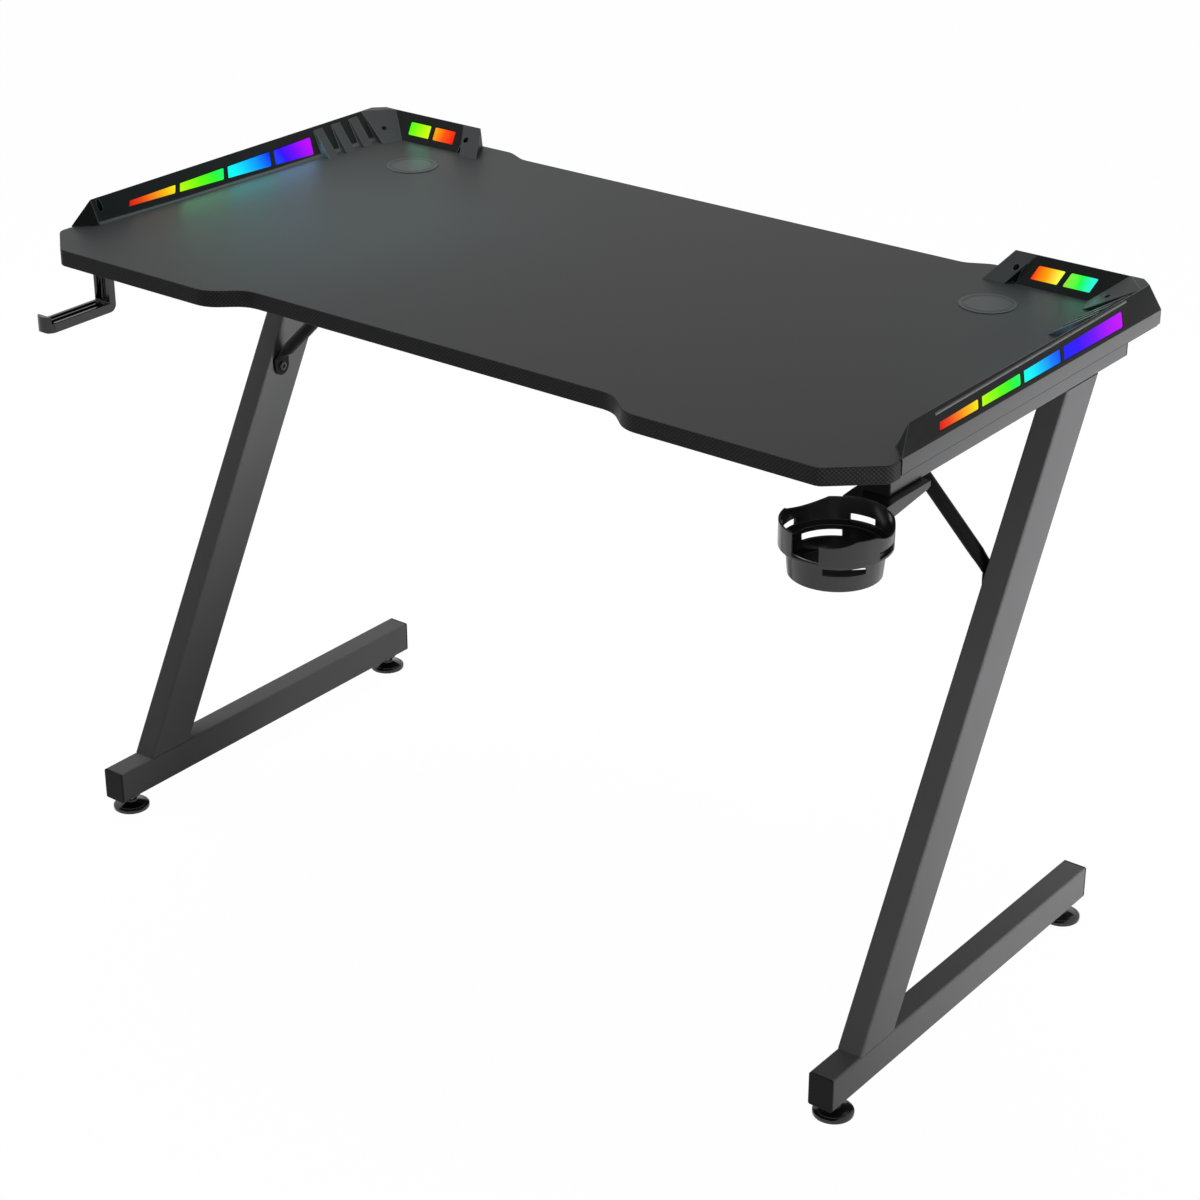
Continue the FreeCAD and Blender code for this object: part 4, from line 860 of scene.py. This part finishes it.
def seenRays(finish):
    # 1 for what the camera, a reflection or a clear body sees, 0 for light that falls on the desk
    path = [finish.node("ShaderNodeLightPath", {}, {}, ray)
            for ray in ("Is Camera Ray", "Is Glossy Ray", "Is Transmission Ray")]
    return path[0].maths("MAXIMUM", path[0].maths("MAXIMUM", path[0], path[1]), path[2])


def setStudio():
    world = bpy.data.worlds.new("studio")
    world.use_nodes = True
    scene.world = world
    finish = Finish(world.node_tree)
    sky = finish.node("ShaderNodeBackground", {}, {
        "Color": white, "Strength": studio["ambient"] + seenRays(finish) * (1 - studio["ambient"])})
    finish.node("ShaderNodeOutputWorld", {}, {"Surface": sky})
    pickOnly()
    bpy.ops.mesh.primitive_plane_add(size=studio["floor"], location=(0, 0, 0))
    floor = bpy.context.object
    floor.name = "studioFloor"
    material, finish = newFinish("paleFloor")
    matte = finish.node("ShaderNodeBsdfDiffuse", {}, {"Color": grey(studio["paleness"])})
    bright = finish.node("ShaderNodeEmission", {}, {"Color": white, "Strength": studio["floorGlow"]})
    share = seenRays(finish) * studio["selfShare"]
    both = finish.node("ShaderNodeMixShader", {}, {0: share, 1: matte, 2: bright})
    finish.node("ShaderNodeOutputMaterial", {}, {"Surface": both})
    floor.data.materials.append(material)
    for name, lamp in studio["lamps"].items():
        bpy.ops.object.light_add(type="AREA", location=lamp["place"])
        light = bpy.context.object
        light.name = name
        light.data.size = lamp["size"]
        light.data.energy = lamp["power"]
        light.data.color = lamp.get("colour", white[:3])
        light.data.spread = math.radians(lamp.get("spread", 180))
        toward = Vector(lamp["aim"]) - Vector(lamp["place"])
        light.rotation_euler = toward.to_track_quat("-Z", "Y").to_euler()
        light.visible_camera = False
        light.visible_glossy = False


# Camera at the photograph's viewing angle
view = {"place": (1.8208, -2.3220, 1.7800), "aim": (0.0304, 0.0, 0.3595), "lens": 84.58, "sensor": 36.0}


def setCamera():
    bpy.ops.object.camera_add(location=view["place"])
    camera = bpy.context.object
    camera.name = "photoView"
    toward = Vector(view["aim"]) - Vector(view["place"])
    camera.rotation_euler = toward.to_track_quat("-Z", "Y").to_euler()
    camera.data.lens = view["lens"]
    camera.data.sensor_width = view["sensor"]
    scene.camera = camera


setStudio()
setCamera()
scene.view_settings.view_transform = "Standard"
print("studio and camera set")
